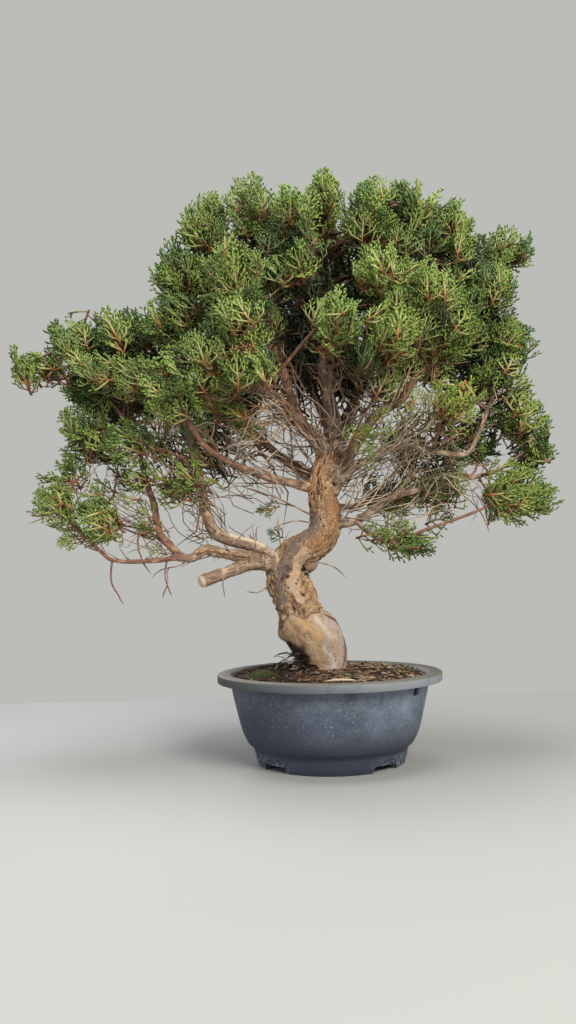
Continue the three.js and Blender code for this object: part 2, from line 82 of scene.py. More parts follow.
# Limbs: radius at the root and at the end, how red the bark is, then the points of the limb
LIMBS = {
    "up_left": (8.5, 2.4, 0.25, (
        (5, 0, 272), (-4, -6, 299), (-17, -12, 309), (-26, -18, 320), (-43, -28, 336),
        (-55, -38, 344), (-68, -50, 353), (-76, -60, 368), (-80, -70, 392), (-84, -72, 425),
    )),
    "leader": (9.5, 2.2, 0.35, (
        (5, 1, 274), (11, 4, 305), (9, 8, 325), (7, 12, 345), (5, 16, 375), (2, 18, 406),
        (-1, 16, 442), (-1, 12, 476), (2, 6, 508), (5, 2, 530),
    )),
    "crown_left": (5.2, 2.2, 0.5, (
        (-24, -17, 318), (-30, 6, 345), (-38, 28, 380), (-54, 32, 418), (-76, 28, 453),
        (-94, 8, 480), (-104, -10, 503),
    )),
    "right_upper": (7, 2.2, 0.3, (
        (7, 0, 263), (20, -4, 280), (31, -10, 297), (51, -18, 323), (74, -24, 336),
        (85, -30, 352), (101, -36, 368), (110, -42, 390), (104, -50, 420),
    )),
    "right_back": (6.4, 2.2, 0.45, (
        (9, 4, 290), (23, 20, 315), (34, 36, 349), (50, 48, 383), (77, 54, 423),
        (108, 50, 461), (128, 36, 490),
    )),
    "back": (6.2, 2.2, 0.45, (
        (8, 8, 312), (2, 32, 335), (-6, 58, 362), (-10, 80, 396), (-14, 90, 440),
        (-16, 88, 485), (-14, 84, 506),
    )),
    "back_right": (4.4, 2.2, 0.45, (
        (0, 41, 345), (28, 62, 372), (60, 80, 398), (96, 90, 420), (108, 88, 455),
    )),
    "right_tier": (4.2, 1.0, 0.15, (
        (8, 0, 251), (24, -8, 270), (50, -14, 284), (80, -18, 292), (108, -20, 285),
        (131, -20, 282), (142, -18, 294), (153, -16, 318), (164, -12, 345), (174, -6, 380),
    )),
    "right_low": (4.2, 1.3, 0.2, (
        (8, 0, 220), (30, -6, 223), (47, -8, 234), (71, -4, 247), (102, 2, 254),
        (138, 4, 262), (168, 4, 270), (198, 6, 290),
    )),
    "right_drop": (2.4, 1.3, 0.3, (
        (29, -6, 223), (37, -14, 213), (49, -20, 204), (62, -24, 199), (78, -25, 198),
    )),
    "right_cane": (1.7, 1.1, 0.8, (
        (56, -22, 201), (72, -26, 204), (89, -28, 211), (120, -30, 221), (139, -30, 228),
        (170, -24, 240),
    )),
    "long_left": (4.6, 2, 0.4, (
        (-10, -2, 255), (-37, -12, 261), (-57, -22, 265), (-73, -32, 270), (-88, -44, 276),
        (-106, -58, 286), (-117, -70, 300), (-127, -82, 322),
    )),
    "back_left": (5, 2.1, 0.5, (
        (-6, 6, 262), (-22, 28, 276), (-44, 52, 296), (-72, 74, 326), (-97, 86, 356),
        (-114, 82, 400), (-120, 74, 450),
    )),
    "back_low": (4, 1.8, 0.5, ((2, 8, 240), (24, 34, 240), (48, 54, 246), (70, 64, 252))),
    "low_left": (7, 2.3, 0.3, (
        (-44, 0, 183), (-65, -11, 199), (-85, -22, 205), (-102, -32, 212), (-110, -38, 229),
        (-114, -40, 250), (-120, -34, 278), (-128, -26, 310), (-138, -20, 345), (-142, -20, 395),
    )),
    "gnarled": (6.6, 4, 0.1, (
        (-46, -2, 180), (-67, -18, 189), (-81, -32, 191), (-99, -44, 194), (-111, -52, 196),
        (-122, -58, 189), (-136, -60, 191),
    )),
    "reaching": (2.5, 1.3, 0.7, (
        (-130, -60, 190), (-158, -62, 187), (-189, -62, 188), (-201, -60, 196),
        (-219, -58, 212), (-233, -55, 227),
    )),
    "riser": (3.5, 1.5, 0.6, (
        (-131, -60, 190), (-143, -56, 203), (-152, -50, 214), (-157, -42, 238),
        (-166, -34, 263), (-174, -26, 294), (-188, -20, 321), (-206, -12, 344),
        (-222, -14, 366),
    )),
    "cut_stub": (6, 5.6, 0.15, (
        (-56, -10, 184), (-74, -26, 183), (-92, -42, 176), (-114, -56, 168),
    )),
}

# Dead and bare twigs that hang or cross in the open: radius, redness and points
BARE_TWIGS = (
    (1.0, 0.75, ((-191, -62, 188), (-192, -62, 171), (-187, -61, 160), (-181, -62, 149))),
    (1.1, 0.7, (
        (-152, -50, 216), (-166, -58, 212), (-169, -60, 204), (-165, -60, 188), (-157, -60, 175),
    )),
    (1.0, 0.6, ((-143, -60, 190), (-145, -60, 175), (-142, -60, 163), (-139, -60, 155))),
    (0.8, 0.6, ((-143, -60, 165), (-146, -60, 159), (-147, -60, 153))),
    (0.8, 0.4, ((-92, -44, 178), (-95, -50, 168), (-93, -50, 153))),
    (0.9, 0.3, ((-14, -7, 184), (-8, -8, 184), (4, -8, 181), (12, -8, 176), (18, -8, 169))),
    (0.9, 0.3, ((-56, -6, 166), (-58, -7, 161), (-67, -9, 157), (-77, -10, 158))),
    (0.8, 0.5, (
        (112, -20, 256), (124, -20, 248), (140, -20, 233), (148, -20, 220), (152, -20, 208),
    )),
    (1.0, 0.5, ((-12, -8, 228), (-30, -9, 238), (-48, -10, 247), (-64, -12, 252), (-79, -14, 257))),
    (0.8, 0.5, ((-30, -9, 238), (-44, -6, 241), (-58, -2, 242))),
    (0.7, 0.5, ((-48, -10, 247), (-56, -8, 236), (-52, -8, 224))),
    (0.8, 0.4, ((-14, -6, 222), (-30, -6, 224), (-46, -8, 219), (-54, -9, 212))),
)

# Patches of bark on the front of the trunk, as strokes: their reach, then the x and z along them
BARK_STROKES = {
    "ochre": ((5, ((-28, 130), (-18, 125), (-8, 118))),),
    "cream": ((3, ((-14, 131), (-5, 124), (1, 115))), (2.5, ((-6, 108), (2, 98), (4, 86)))),
    # The mauve stripe carries a painted highlight, and the lilac one is a painted highlight
    "mauve": ((5, ((-3, 131), (5, 123), (10, 112), (11, 96), (11, 86))),),
    "lilac": ((4, ((-4, 116), (-1, 106), (0, 96), (1, 86))),),
    "maroon": ((3.4, ((-38, 181), (-42, 168))),),
    # Grey bark down the left of the bend, made darker there as painted shade
    "ash": (
        (5, ((-30, 202), (-20, 209), (-10, 216), (-9, 228))),
        (5, ((-30, 201), (-38, 188), (-44, 174), (-45, 160), (-43, 148))),
    ),
    "orange": ((7, ((-10, 200), (2, 210), (8, 224), (7, 246))),),
    "plate": (
        (5.5, ((-21, 195), (-27, 184), (-31, 172), (-33, 161))), (3, ((-32, 160), (-26, 150))),
    ),
    "crust": ((5, ((-45, 134), (-47, 127))), (4, ((-43, 140), (-20, 138), (-8, 142)))),
    # The hollow is painted dark as shade
    "hollow": ((7, ((-36, 103), (-28, 98), (-26, 92))), (3, ((-22, 91), (-15, 86)))),
    "edge": ((0.8, ((-4, 134), (5, 127), (11, 117), (14.5, 104), (14.5, 92), (12, 86))),),
}
# Swellings and dents of the trunk: their middle, reach and height
SWELLINGS = (
    ((2, -6, 121), 17, 5.5), ((22, -4, 84), 13, -6), ((-38, -8, 101), 10, -8),
    ((-30, -8, 83), 8, 5), ((-16, -20, 151), 9, 2.5), ((-30, -22, 139), 9, -1.5),
    ((-42, -10, 117), 9, 4),
)
# Height of the ragged lip where the old bark ends above the peeled swelling
PEEL_EDGE = 140
# Heights between which the bark's plates get coarser and their cracks darker towards the swelling
COLLAR = (205, 165)
# Round scars of lost twigs and their radius, then how many small ones, how large and how high
SCARS = (
    (-18, -16, 194), (-25, -18, 185), (-34, -17, 181), (-37, -16, 172), (-37, -17, 161),
    (-23, -20, 154),
)
SCAR_RADIUS = 1.9
SMALL_SCARS = 150
SMALL_SCAR_RADII = (0.8, 1.7)
SCAR_HEIGHTS = (148, 268)
# Heights between which the bark's relief dies away under the first fork
RELIEF_END = (268, 288)
# The broken end of a lost branch in the bend, and the radii at its points
STUB = ((-19, -6, 178, 5), (-12, -8, 181, 3.6), (-8, -9, 182, 2.2))
STUB_REDNESS = 0.2


def linear(code):
    """An sRGB hex colour as the linear red, green, blue and alpha that shaders take."""
    shares = [int(code[place:place + 2], 16) / 255 for place in (1, 3, 5)]
    bright = [s / 12.92 if s <= 0.04045 else ((s + 0.055) / 1.055) ** 2.4 for s in shares]
    return (*bright, 1.0)


def colour_setting(name, description, code):
    return FloatVectorProperty(
        name=name, description=description, subtype="COLOR", size=4, min=0, max=1,
        default=linear(code),
    )


class BonsaiPot(PropertyGroup):
    wall: FloatProperty(
        name="Wall", description="Thickness of the pot's wall", default=2.8 * MM,
        min=1 * MM, max=8 * MM, unit="LENGTH", subtype="DISTANCE",
    )
    plastic: colour_setting("Plastic", "Colour of the clean moulding", "#323a4c")
    # This colour also paints the light on the right of the pot
    bloom_and_light: colour_setting("Bloom", "Colour of the mineral haze on the plastic", "#7d8899")
    rim: colour_setting("Rim", "Colour of the sun-bleached rim", "#77756a")


class BonsaiGround(PropertyGroup):
    soil: colour_setting("Soil", "Colour of the damp soil", "#2c2018")
    litter: colour_setting("Litter", "Colour of fresh fallen twigs", "#6c4834")
    moss: colour_setting("Moss", "Colour of the live moss", "#3a4f1f")
    grains: IntProperty(
        name="Grains", description="Number of loose grains on the soil", default=520, min=0,
    )
    strands: IntProperty(
        name="Litter strands", description="Number of fallen twigs", default=1500, min=0,
    )


class BonsaiTree(PropertyGroup):
    bark: colour_setting("Bark", "Colour of the old bark", "#b59774")
    peeled: colour_setting("Peeled bark", "Colour where the bark has peeled", "#a68d70")
    twig: colour_setting("Twig", "Colour of young twigs", "#8a6350")
    twiglets: IntProperty(
        name="Bare twigs", description="Number of short bare twigs on the limbs", default=360,
        min=0,
    )


class BonsaiFoliage(PropertyGroup):
    fresh: colour_setting("Tips", "Colour of the young tips", "#5c7c30")
    cords: colour_setting("Cords", "Colour of the older cords", "#9b9b62")
    cord: FloatProperty(
        name="Cord", description="Thickness of a foliage cord", default=1.95 * MM,
        min=0.5 * MM, max=4 * MM, unit="LENGTH", subtype="DISTANCE",
    )
    cell: FloatProperty(
        name="Spray spacing", description="Distance between the tips of neighbouring sprays",
        default=18 * MM, min=8 * MM, max=60 * MM, unit="LENGTH", subtype="DISTANCE",
    )


class BonsaiStage(PropertyGroup):
    floor: colour_setting("Floor", "Colour of the floor", "#9c9d9a")
    backdrop: colour_setting("Backdrop", "Colour of the light all round", "#bcbcb8")
    lens: FloatProperty(
        name="Lens", description="Focal length of the camera in millimetres", default=28.93, min=10,
    )


# Shader nodes


def add_node(tree, kind, settings=None):
    """Adds a shader node. Settings are its properties, or values or sockets for its inputs."""
    made = tree.nodes.new(kind)
    for name, value in (settings or {}).items():
        if isinstance(value, bpy.types.NodeSocket):
            tree.links.new(value, made.inputs[name])
        elif name == "stops":
            set_stops(made.color_ramp, value)
        elif isinstance(name, str) and hasattr(made, name):
            setattr(made, name, value)
        else:
            made.inputs[name].default_value = linear(value) if isinstance(value, str) else value
    return made


def set_stops(ramp, stops):
    while len(ramp.elements) < len(stops):
        ramp.elements.new(0.5)
    for element, (place, colour) in zip(ramp.elements, stops):
        element.position = place
        element.color = linear(colour) if isinstance(colour, str) else colour


def new_material(name):
    material = bpy.data.materials.new(name)
    material.use_nodes = True
    return material, material.node_tree


def patterns(tree, sizes, place=None, lean=0.0, stretch=1.0):
    """Noise patterns by name, each from its size in millimetres, its detail and its roughness.

    They lie on the piece's own coordinates, unless a place is given, and may be drawn out along a
    line that leans to the right.
    """
    if place is None:
        place = add_node(tree, "ShaderNodeTexCoord").outputs["Object"]
    if stretch != 1:
        laid = {"vector_type": "TEXTURE", "Rotation": (0, lean, 0), "Scale": (1, 1, stretch)}
        place = add_node(tree, "ShaderNodeMapping", {**laid, "Vector": place}).outputs["Vector"]
    made = {}
    for name, (size, detail, roughness) in sizes.items():
        grain = {"Scale": 1 / (size * MM), "Detail": detail, "Roughness": roughness}
        made[name] = add_node(tree, "ShaderNodeTexNoise", {**grain, "Vector": place}).outputs["Fac"]
    return made


def mask(tree, *limits):
    """The product of shares: sockets, or patterns with the values where they start and are full."""
    product = None
    for share in limits:
        if isinstance(share, tuple):
            pattern, low, high = share
            reach = {"interpolation_type": "SMOOTHSTEP", "From Min": low, "From Max": high}
            rise = add_node(tree, "ShaderNodeMapRange", {**reach, "Value": pattern})
            share = rise.outputs["Result"]
        if product is not None:
            both = {"operation": "MULTIPLY", 0: product, 1: share}
            share = add_node(tree, "ShaderNodeMath", both).outputs[0]
        product = share
    return product


def coated(tree, colour, *coats):
    """Coats laid over a colour. Each is a colour, then the limits of the mask that shows it."""
    for coat, *limits in coats:
        blend = {"data_type": "RGBA", 0: mask(tree, *limits), 6: colour, 7: coat}
        colour = add_node(tree, "ShaderNodeMix", blend).outputs[2]
    return colour


def topped(tree, pattern, other, share):
    """A pattern with a share of another one on top, to break its edges up."""
    both = {"operation": "MULTIPLY_ADD", 0: other, 1: share, 2: pattern}
    return add_node(tree, "ShaderNodeMath", both).outputs[0]


def finished(material, colour, settings, relief=None, depth=0.0, strength=1.0):
    """Gives the material its colour, its shader's settings and bumps as deep as depth."""
    tree = material.node_tree
    shader = tree.nodes["Principled BSDF"]
    tree.links.new(colour, shader.inputs["Base Color"])
    for name, value in settings.items():
        shader.inputs[name].default_value = value
    if relief is not None:
        bumps = {"Strength": strength, "Distance": depth, "Height": relief}
        normal = add_node(tree, "ShaderNodeBump", bumps).outputs["Normal"]
        tree.links.new(normal, shader.inputs["Normal"])
    return material


# Materials


def weathered_polypropylene(settings):
    """Injection-moulded polypropylene: matt slate blue, scuffed, whitened by hard water, with
    painted light that brightens the whitening and the rim band towards the right.
    """
    material, tree = new_material("weathered_polypropylene")
    place = add_node(tree, "ShaderNodeTexCoord").outputs["Object"]
    axes = add_node(tree, "ShaderNodeSeparateXYZ", {"Vector": place}).outputs
    across, height = axes["X"], axes["Z"]
    spots = patterns(tree, {
        "cloud": (34, 8, 0.7), "speckle": (0.9, 3, 0.8), "dots": (1.9, 2, 0.6),
        "crust": (2.4, 5, 0.75), "blue": (16, 3, 0.55), "olive": (9, 4, 0.55),
        "tooth": (0.9, 2, 0.55),
    })
    scratches = patterns(tree, {"scuffs": (2.2, 4, 0.7)}, lean=1.31, stretch=7)
    scuffs = mask(tree, (scratches["scuffs"], 0.62, 0.76))
    cloud = mask(tree, (spots["cloud"], 0.22, 0.8))
    # Painted light: this mask makes the pot lighter towards its right side
    painted_light_right = mask(tree, (across, (POT_AXIS.x - 80) * MM, (POT_AXIS.x + 85) * MM))
    upper = mask(tree, (height, 14 * MM, 56 * MM))
    shoulder = mask(tree, (height, 44 * MM, 74 * MM))
    face = mask(tree, (height, (POT_HEIGHT - 8.2) * MM, (POT_HEIGHT - 7) * MM))
    # Hard-water whitening in clouds, and painted light over the upper right of the wall; the light
    # speckles follow it
    haze_and_light = mask(tree, cloud, topped(tree, mask(tree, painted_light_right, upper), shoulder, 0.35))
    off_axis = {"operation": "SUBTRACT", 0: across, 1: POT_AXIS.x * MM}
    off_axis = add_node(tree, "ShaderNodeMath", off_axis).outputs[0]
    aside = add_node(tree, "ShaderNodeMath", {"operation": "ABSOLUTE", 0: off_axis}).outputs[0]
    deep = coated(tree, settings.plastic, ("#29303e", spots["blue"]))
    # The rim band: grey, made lighter towards the right by painted light
    rim_band_lit_right = coated(tree, "#47494b", ("#7f8489", painted_light_right))
    olive = coated(tree, settings.rim, ("#504e43", spots["olive"]))
    colour = coated(
        tree, deep,
        (settings.bloom_and_light, haze_and_light),
        ("#8d98a9", topped(tree, haze_and_light, upper, 0.3), (spots["speckle"], 0.46, 0.72)),
        ("#8d98a8", scuffs, upper),
        ("#a9b2be", (spots["dots"], 0.66, 0.74), upper),
        (
            "#a3adb9", (height, 17 * MM, 4 * MM), (aside, 24 * MM, 58 * MM),
            (spots["crust"], 0.47, 0.66),
        ),
        (rim_band_lit_right, face, topped(tree, cloud, face, 0.35)),
        (olive, (height, (POT_HEIGHT - 1.9) * MM, (POT_HEIGHT - 0.3) * MM)),
    )
    relief = topped(tree, spots["tooth"], scuffs, 0.6)
    return finished(material, colour, {"Roughness": 0.6, "IOR": 1.49}, relief, 0.18 * MM, 0.6)


def damp_soil(settings):
    """Akadama and compost mix: crumbly, dark where damp, warmer where the grains are dry."""
    material, tree = new_material("damp_soil")
    grain = patterns(tree, {"crumbs": (2.4, 4, 0.7), "damp": (22, 2, 0.55)})
    colour = coated(
        tree, settings.soil,
        ("#5b4028", (grain["crumbs"], 0.4, 0.65)),
        ("#1f1a12", (grain["damp"], 0.42, 0.62)),
    )
    return finished(material, colour, {"Roughness": 0.95}, grain["crumbs"], 1.2 * MM)


def dry_grains():
    """Loose akadama and pumice grains: matt, porous, from clay brown to bone."""
    material, tree = new_material("dry_grains")
    tone = add_node(tree, "ShaderNodeAttribute", {"attribute_name": "value"}).outputs["Fac"]
    stops = [(0.0, "#35261b"), (0.5, "#6d4b30"), (0.8, "#94714a"), (1.0, "#b9a68a")]
    colour = add_node(tree, "ShaderNodeValToRGB", {"stops": stops, "Fac": tone}).outputs["Color"]
    pores = patterns(tree, {"pores": (0.8, 3, 0.55)})["pores"]
    return finished(material, colour, {"Roughness": 0.95}, pores, 0.4 * MM)


def washed_pumice():
    """Crushed pumice in the drainage layer: pale, full of pores, with painted shade in the gaps
    between the stones.
    """
    material, tree = new_material("washed_pumice")
    place = add_node(tree, "ShaderNodeTexCoord").outputs["Object"]
    cells = {"Scale": 1 / (6 * MM), "Vector": place}
    stones = add_node(tree, "ShaderNodeTexVoronoi", cells).outputs["Distance"]
    pores = patterns(tree, {"pores": (3, 3, 0.55)})["pores"]
    # Painted shade: darker at the edges of the stone cells, in the gaps between the stones
    colour = coated(tree, "#b9a98c", ("#8c7c62", pores), ("#5d5140", (stones, 0.35, 0.6)))
    return finished(material, colour, {"Roughness": 0.95}, stones, -2 * MM)


def black_polyethylene():
    """Extruded polyethylene mesh: black with a waxy sheen and dried silt."""
    material, tree = new_material("black_polyethylene")
    silt = mask(tree, (patterns(tree, {"silt": (5, 3, 0.55)})["silt"], 0.5, 0.7))
    colour = coated(tree, "#191a1c", ("#4a4238", silt))
    return finished(material, colour, {"Roughness": 0.5}, silt, 0.1 * MM)


def drawn_aluminium():
    """Drawn aluminium bonsai wire: bright, with fine draw lines and dull oxide."""
    material, tree = new_material("drawn_aluminium")
    marks = patterns(tree, {"oxide": (4, 3, 0.55), "draw": (0.3, 3, 0.55)})
    colour = coated(tree, "#c3c4c6", ("#8f9092", marks["oxide"]))
    metal = {"Metallic": 1.0, "Roughness": 0.38}
    return finished(material, colour, metal, marks["draw"], 0.03 * MM)


def living_moss(settings):
    """Short live moss: no gloss, yellow at the tips, painted near-black shade between the tufts."""
    material, tree = new_material("living_moss")
    tips = add_node(tree, "ShaderNodeAttribute", {"attribute_name": "value"}).outputs["Fac"]
    growth = patterns(tree, {"patch": (9, 3, 0.55), "pile": (0.8, 3, 0.55)})
    live = coated(tree, settings.moss, ("#565f26", (growth["patch"], 0.42, 0.62)))
    # Painted shade: near black on the cushion and low on the shoots, their live colour only towards
    # the tips
    colour = coated(tree, "#181f0e", (live, tips))
    return finished(material, colour, {"Roughness": 0.9}, growth["pile"], 0.5 * MM)


def fallen_twigs(settings):
    """Shed scale twigs: dry, from fox red when new to straw and grey when old; the dark end of the
    ramp also paints shade on the pot's left side.
    """
    material, tree = new_material("fallen_twigs")
    age = add_node(tree, "ShaderNodeAttribute", {"attribute_name": "value"}).outputs["Fac"]
    stops = [
        (0.0, "#1d1712"), (0.26, "#35261b"), (0.42, settings.litter), (0.58, "#8f694b"),
        (0.76, "#7d6a52"), (0.92, "#b9a98e"),
    ]
    colour = add_node(tree, "ShaderNodeValToRGB", {"stops": stops, "Fac": age}).outputs["Color"]
    scales = patterns(tree, {"scales": (0.7, 3, 0.55)})["scales"]
    return finished(material, colour, {"Roughness": 0.8}, scales, 0.2 * MM)


def bark_grain(tree, spacing, stretch):
    """Streaks that follow the stem, from the piece's bark map."""
    along = add_node(tree, "ShaderNodeUVMap", {"uv_map": BARK_MAP}).outputs["UV"]
    laid = {"Scale": (1 / stretch, 1, 1), "Vector": along}
    laid = add_node(tree, "ShaderNodeMapping", laid).outputs["Vector"]
    return patterns(tree, {"grain": (spacing, 4, 0.65)}, laid)["grain"]


def ragged_patch(tree, name, wander, share=0.35):
    """The patch that a piece's attribute marks, its edge broken up by a noise pattern."""
    marked = add_node(tree, "ShaderNodeAttribute", {"attribute_name": name}).outputs["Fac"]
    return topped(tree, marked, wander, share)


# Layers of bark change where the noise that shapes them passes each of these steps
LAYER_STEP = 0.08
LAYER_EDGES = (0.4, 0.48, 0.56, 0.64)
LAYER_BLUR = 0.006
LAYER_HEIGHTS = ("#202020", "#505050", "#808080", "#b0b0b0", "#e0e0e0")


def bark_layers(tree, depth, tones):
    """Thin layers of bark with ragged lips: their tones, their heights and their lips."""
    stepped = []
    for steps in (tones, LAYER_HEIGHTS):
        stops = [(0.0, steps[0])]
        for edge, tone, following in zip(LAYER_EDGES, steps, steps[1:]):
            stops += [(edge - LAYER_BLUR, tone), (edge + LAYER_BLUR, following)]
        stops.append((1.0, steps[-1]))
        ramp = add_node(tree, "ShaderNodeValToRGB", {"stops": stops, "Fac": depth})
        stepped.append(ramp.outputs["Color"])
    wave = {"operation": "PINGPONG", 0: depth, 1: LAYER_STEP / 2}
    wave = add_node(tree, "ShaderNodeMath", wave).outputs[0]
    return *stepped, mask(tree, (wave, 0.012, 0.003))


def old_trunk_bark(settings):
    """Old juniper trunk: ragged flakes over smooth peeled wood, ochre to mauve where it is bare; a
    painted highlight on the bulge, painted shade on the left of the bend, in the hollow and under
    the lip of the old bark.
    """
    material, tree = new_material("old_trunk_bark")
    shades = patterns(tree, {"wander": (5, 4, 0.6), "fleck": (1.6, 3, 0.7)})
    wander, fleck = shades["wander"], shades["fleck"]
    streak = bark_grain(tree, 2.4, 9)

    def zone(name, low, high):
        return ragged_patch(tree, name, wander), low, high

    flakes = patterns(tree, {"flakes": (8, 5, 0.62)}, stretch=1.5)["flakes"]
    rough, rough_height, rough_lips = bark_layers(
        tree, flakes, ("#674a35", "#8c6b4e", "#a68864", settings.bark, "#86664b"),
    )
    rough = coated(
        tree, rough,
        ("#97704c", zone("orange", 0.42, 0.66)),
        # Grey bark, darkened as painted shade on the left of the bend
        ("#79675a", zone("ash", 0.4, 0.85)),
        ("#c4aa88", (fleck, 0.58, 0.68)),
        ("#4a3324", (fleck, 0.4, 0.32)),
        ("#4a3526", rough_lips),
    )
    skins = patterns(tree, {"skins": (9, 5, 0.62)}, lean=-0.5, stretch=2.6)["skins"]
    smooth, smooth_height, smooth_lips = bark_layers(
        tree, skins, ("#7f634a", "#977b5f", settings.peeled, "#9c8770", "#8b725c"),
    )
    smooth = coated(
        tree, smooth,
        ("#aa8a64", zone("ochre", 0.4, 1.15)),
        # Painted highlight: the lilac stripe and part of the mauve one lighten the front of the
        # bulge
        ("#978c86", zone("lilac", 0.3, 1.1)),
        ("#a59389", zone("mauve", 0.32, 1.0)),
        ("#b3a592", zone("cream", 0.3, 1.1)),
        ("#b7a48d", (streak, 0.58, 0.85)),
        ("#80654f", (streak, 0.42, 0.24)),
        ("#5b4432", smooth_lips, (wander, 0.47, 0.6)),
    )
    peeled, pit = (
        add_node(tree, "ShaderNodeAttribute", {"attribute_name": name}).outputs["Fac"]
        for name in ("peeled", "pit")
    )
    bare = mask(tree, (peeled, 0.4, 0.6))
    plate = coated(
        tree, "#a58a6f", ("#b59c80", (wander, 0.4, 0.62)), ("#8d6f55", (fleck, 0.62, 0.7)),
    )
    strip = coated(tree, "#543f3d", ("#70605a", (wander, 0.42, 0.62)))
    colour = coated(
        tree, rough,
        (smooth, bare),
        # Dark flaky lip where the old bark ends over the peeled wood, with painted shade under it
        ("#4e382a", (peeled, 0.08, 0.4), (peeled, 0.95, 0.6)),
        (plate, zone("plate", 0.5, 0.66)),
        (strip, zone("maroon", 0.4, 0.9)),
        ("#5b463c", zone("edge", 0.5, 0.9)),
        # Dark scars and cracks, and painted shade in the hollow
        ("#3b291e", (pit, 0.3, 0.7)),
    )
    relief = topped(tree, coated(tree, rough_height, (smooth_height, bare)), fleck, 0.4)
    return finished(material, colour, {"Roughness": 0.8}, relief, 1.1 * MM, 0.9)


def limb_bark(settings):
    """Limb and twig bark: stringy and tan when old, red-brown and tighter when young."""
    material, tree = new_material("limb_bark")
    grain = bark_grain(tree, 1.3, 8)
    wander = patterns(tree, {"wander": (9, 3, 0.55)})["wander"]
    old = coated(
        tree, "#5f4738",
        ("#a08a73", (grain, 0.38, 0.62)),
        ("#b7a48e", (wander, 0.5, 0.68)),
        ("#7c6450", (wander, 0.44, 0.34)),
    )
    red = coated(
        tree, "#674536", (settings.twig, (grain, 0.4, 0.62)), ("#ad8163", (wander, 0.5, 0.7)),
    )
    bleached = ragged_patch(tree, "pale", wander, 0.3)
    colour = coated(
        tree, old,
        (red, (ragged_patch(tree, "value", wander, 0.4), 0.5, 0.9)),
        ("#a3937f", (bleached, 0.4, 0.7)),
        ("#cdbba0", (bleached, 0.85, 1.0)),
    )
    return finished(material, colour, {"Roughness": 0.82}, grain, 0.6 * MM, 0.8)


def frayed_bark():
    """Dead bark frayed to strings: orange-brown where it has just torn, straw at the ends."""
    material, tree = new_material("frayed_bark")
    strands = mask(tree, (bark_grain(tree, 2, 4), 0.4, 0.6))
    colour = coated(tree, "#8f6240", ("#c3a079", strands))
    return finished(material, colour, {"Roughness": 0.85}, strands, 0.2 * MM)


def dark_roots():
    """Fine surface roots: almost black with soil, a few bleached."""
    material, tree = new_material("dark_roots")
    skin = patterns(tree, {"bleached": (8, 3, 0.55), "grit": (0.8, 3, 0.55)})
    colour = coated(tree, "#2d231b", ("#9c8a74", (skin["bleached"], 0.56, 0.62)))
    return finished(material, colour, {"Roughness": 0.85}, skin["grit"], 0.2 * MM)


def scale_leaf_cords(settings):
    """Scale-leaf cords: waxy, green at the tips, olive behind and rust where they turn woody;
    painted shade makes the sprays deep in the crown dark green to near black.
    """
    material, tree = new_material("scale_leaf_cords")
    along = add_node(tree, "ShaderNodeUVMap", {"uv_map": BAKE_MAP}).outputs["UV"]
    split = add_node(tree, "ShaderNodeSeparateXYZ", {"Vector": along}).outputs
    age, freshness_and_light = split["X"], split["Y"]
    ramps = {
        # Painted shade: the deep and shaded ramps darken sprays inside the crown, in its seams and
        # under other masses
        "deep": [(0.0, "#211811"), (0.4, "#232a17"), (1.0, "#28361c")],
        "shaded": [
            (0.0, "#4a2f21"), (0.2, "#5a4a2e"), (0.4, "#565f36"), (0.75, "#485f2c"),
            (1.0, "#3f5d28"),
        ],
        "fresh": [
            (0.0, "#75442a"), (0.16, "#9a6a3b"), (0.3, "#a4985d"), (0.5, settings.cords),
            (0.8, "#7b8d3f"), (1.0, settings.fresh),
        ],
        "yellow": [
            (0.0, "#86512f"), (0.16, "#a87c45"), (0.3, "#b4a25f"), (0.5, "#acaa62"),
            (0.8, "#959f49"), (1.0, "#7e933b"),
        ],
        "dead": [(0.0, "#4e3020"), (0.4, "#7a4a2e"), (1.0, "#94684a")],
    }
    colours = {
        name: add_node(tree, "ShaderNodeValToRGB", {"stops": stops, "Fac": age}).outputs["Color"]
        for name, stops in ramps.items()
    }
    colour = coated(
        tree, colours["deep"],
        (colours["shaded"], (freshness_and_light, 0.1, 0.26)),
        (colours["fresh"], (freshness_and_light, 0.3, 0.6)),
        (colours["yellow"], (freshness_and_light, 0.74, 0.95)),
        (colours["dead"], (freshness_and_light, DEAD_BAND + 0.03, DEAD_BAND)),
    )
    return finished(material, colour, {"Roughness": 0.6, "IOR": 1.42})


def matt_floor(settings):
    """Matt emulsion-painted board."""
    material, tree = new_material("matt_floor")
    shade = patterns(tree, {"shade": (400, 2, 0.55)})["shade"]
    colour = coated(tree, settings.floor, ("#9d9e9b", shade))
    return finished(material, colour, {"Roughness": 0.7})


# Meshes

BARK_MAP = "bark_map"
BAKE_MAP = "OFBake"
DEAD_BAND = 0.05
ROUND_WIDTH = 0.01
BUD_WAIST = 0.62
THINNEST = 0.05
CURVE_STEPS = 12
LAYERS = ("value", "around", "along", "pale")


def new_bmesh():
    """An empty bmesh with the values that each stem keeps on its vertices."""
    bm = bmesh.new()
    for name in LAYERS:
        bm.verts.layers.float.new(name)
    return bm


def mesh_of(bm, name):
    """A mesh of the bmesh, which is freed."""
    mesh = bpy.data.meshes.new(name)
    bm.to_mesh(mesh)
    bm.free()
    return mesh


def join(whole, part):
    """Turns the faces of a finished part outwards, adds it to a piece and frees it."""
    bmesh.ops.recalc_face_normals(part, faces=part.faces)
    mesh = mesh_of(part, "part")
    whole.from_mesh(mesh)
    bpy.data.meshes.remove(mesh)


def shift(bm, moves):
    """Moves each vertex by its own move."""
    for vert, move in zip(bm.verts, moves):
        vert.co += move


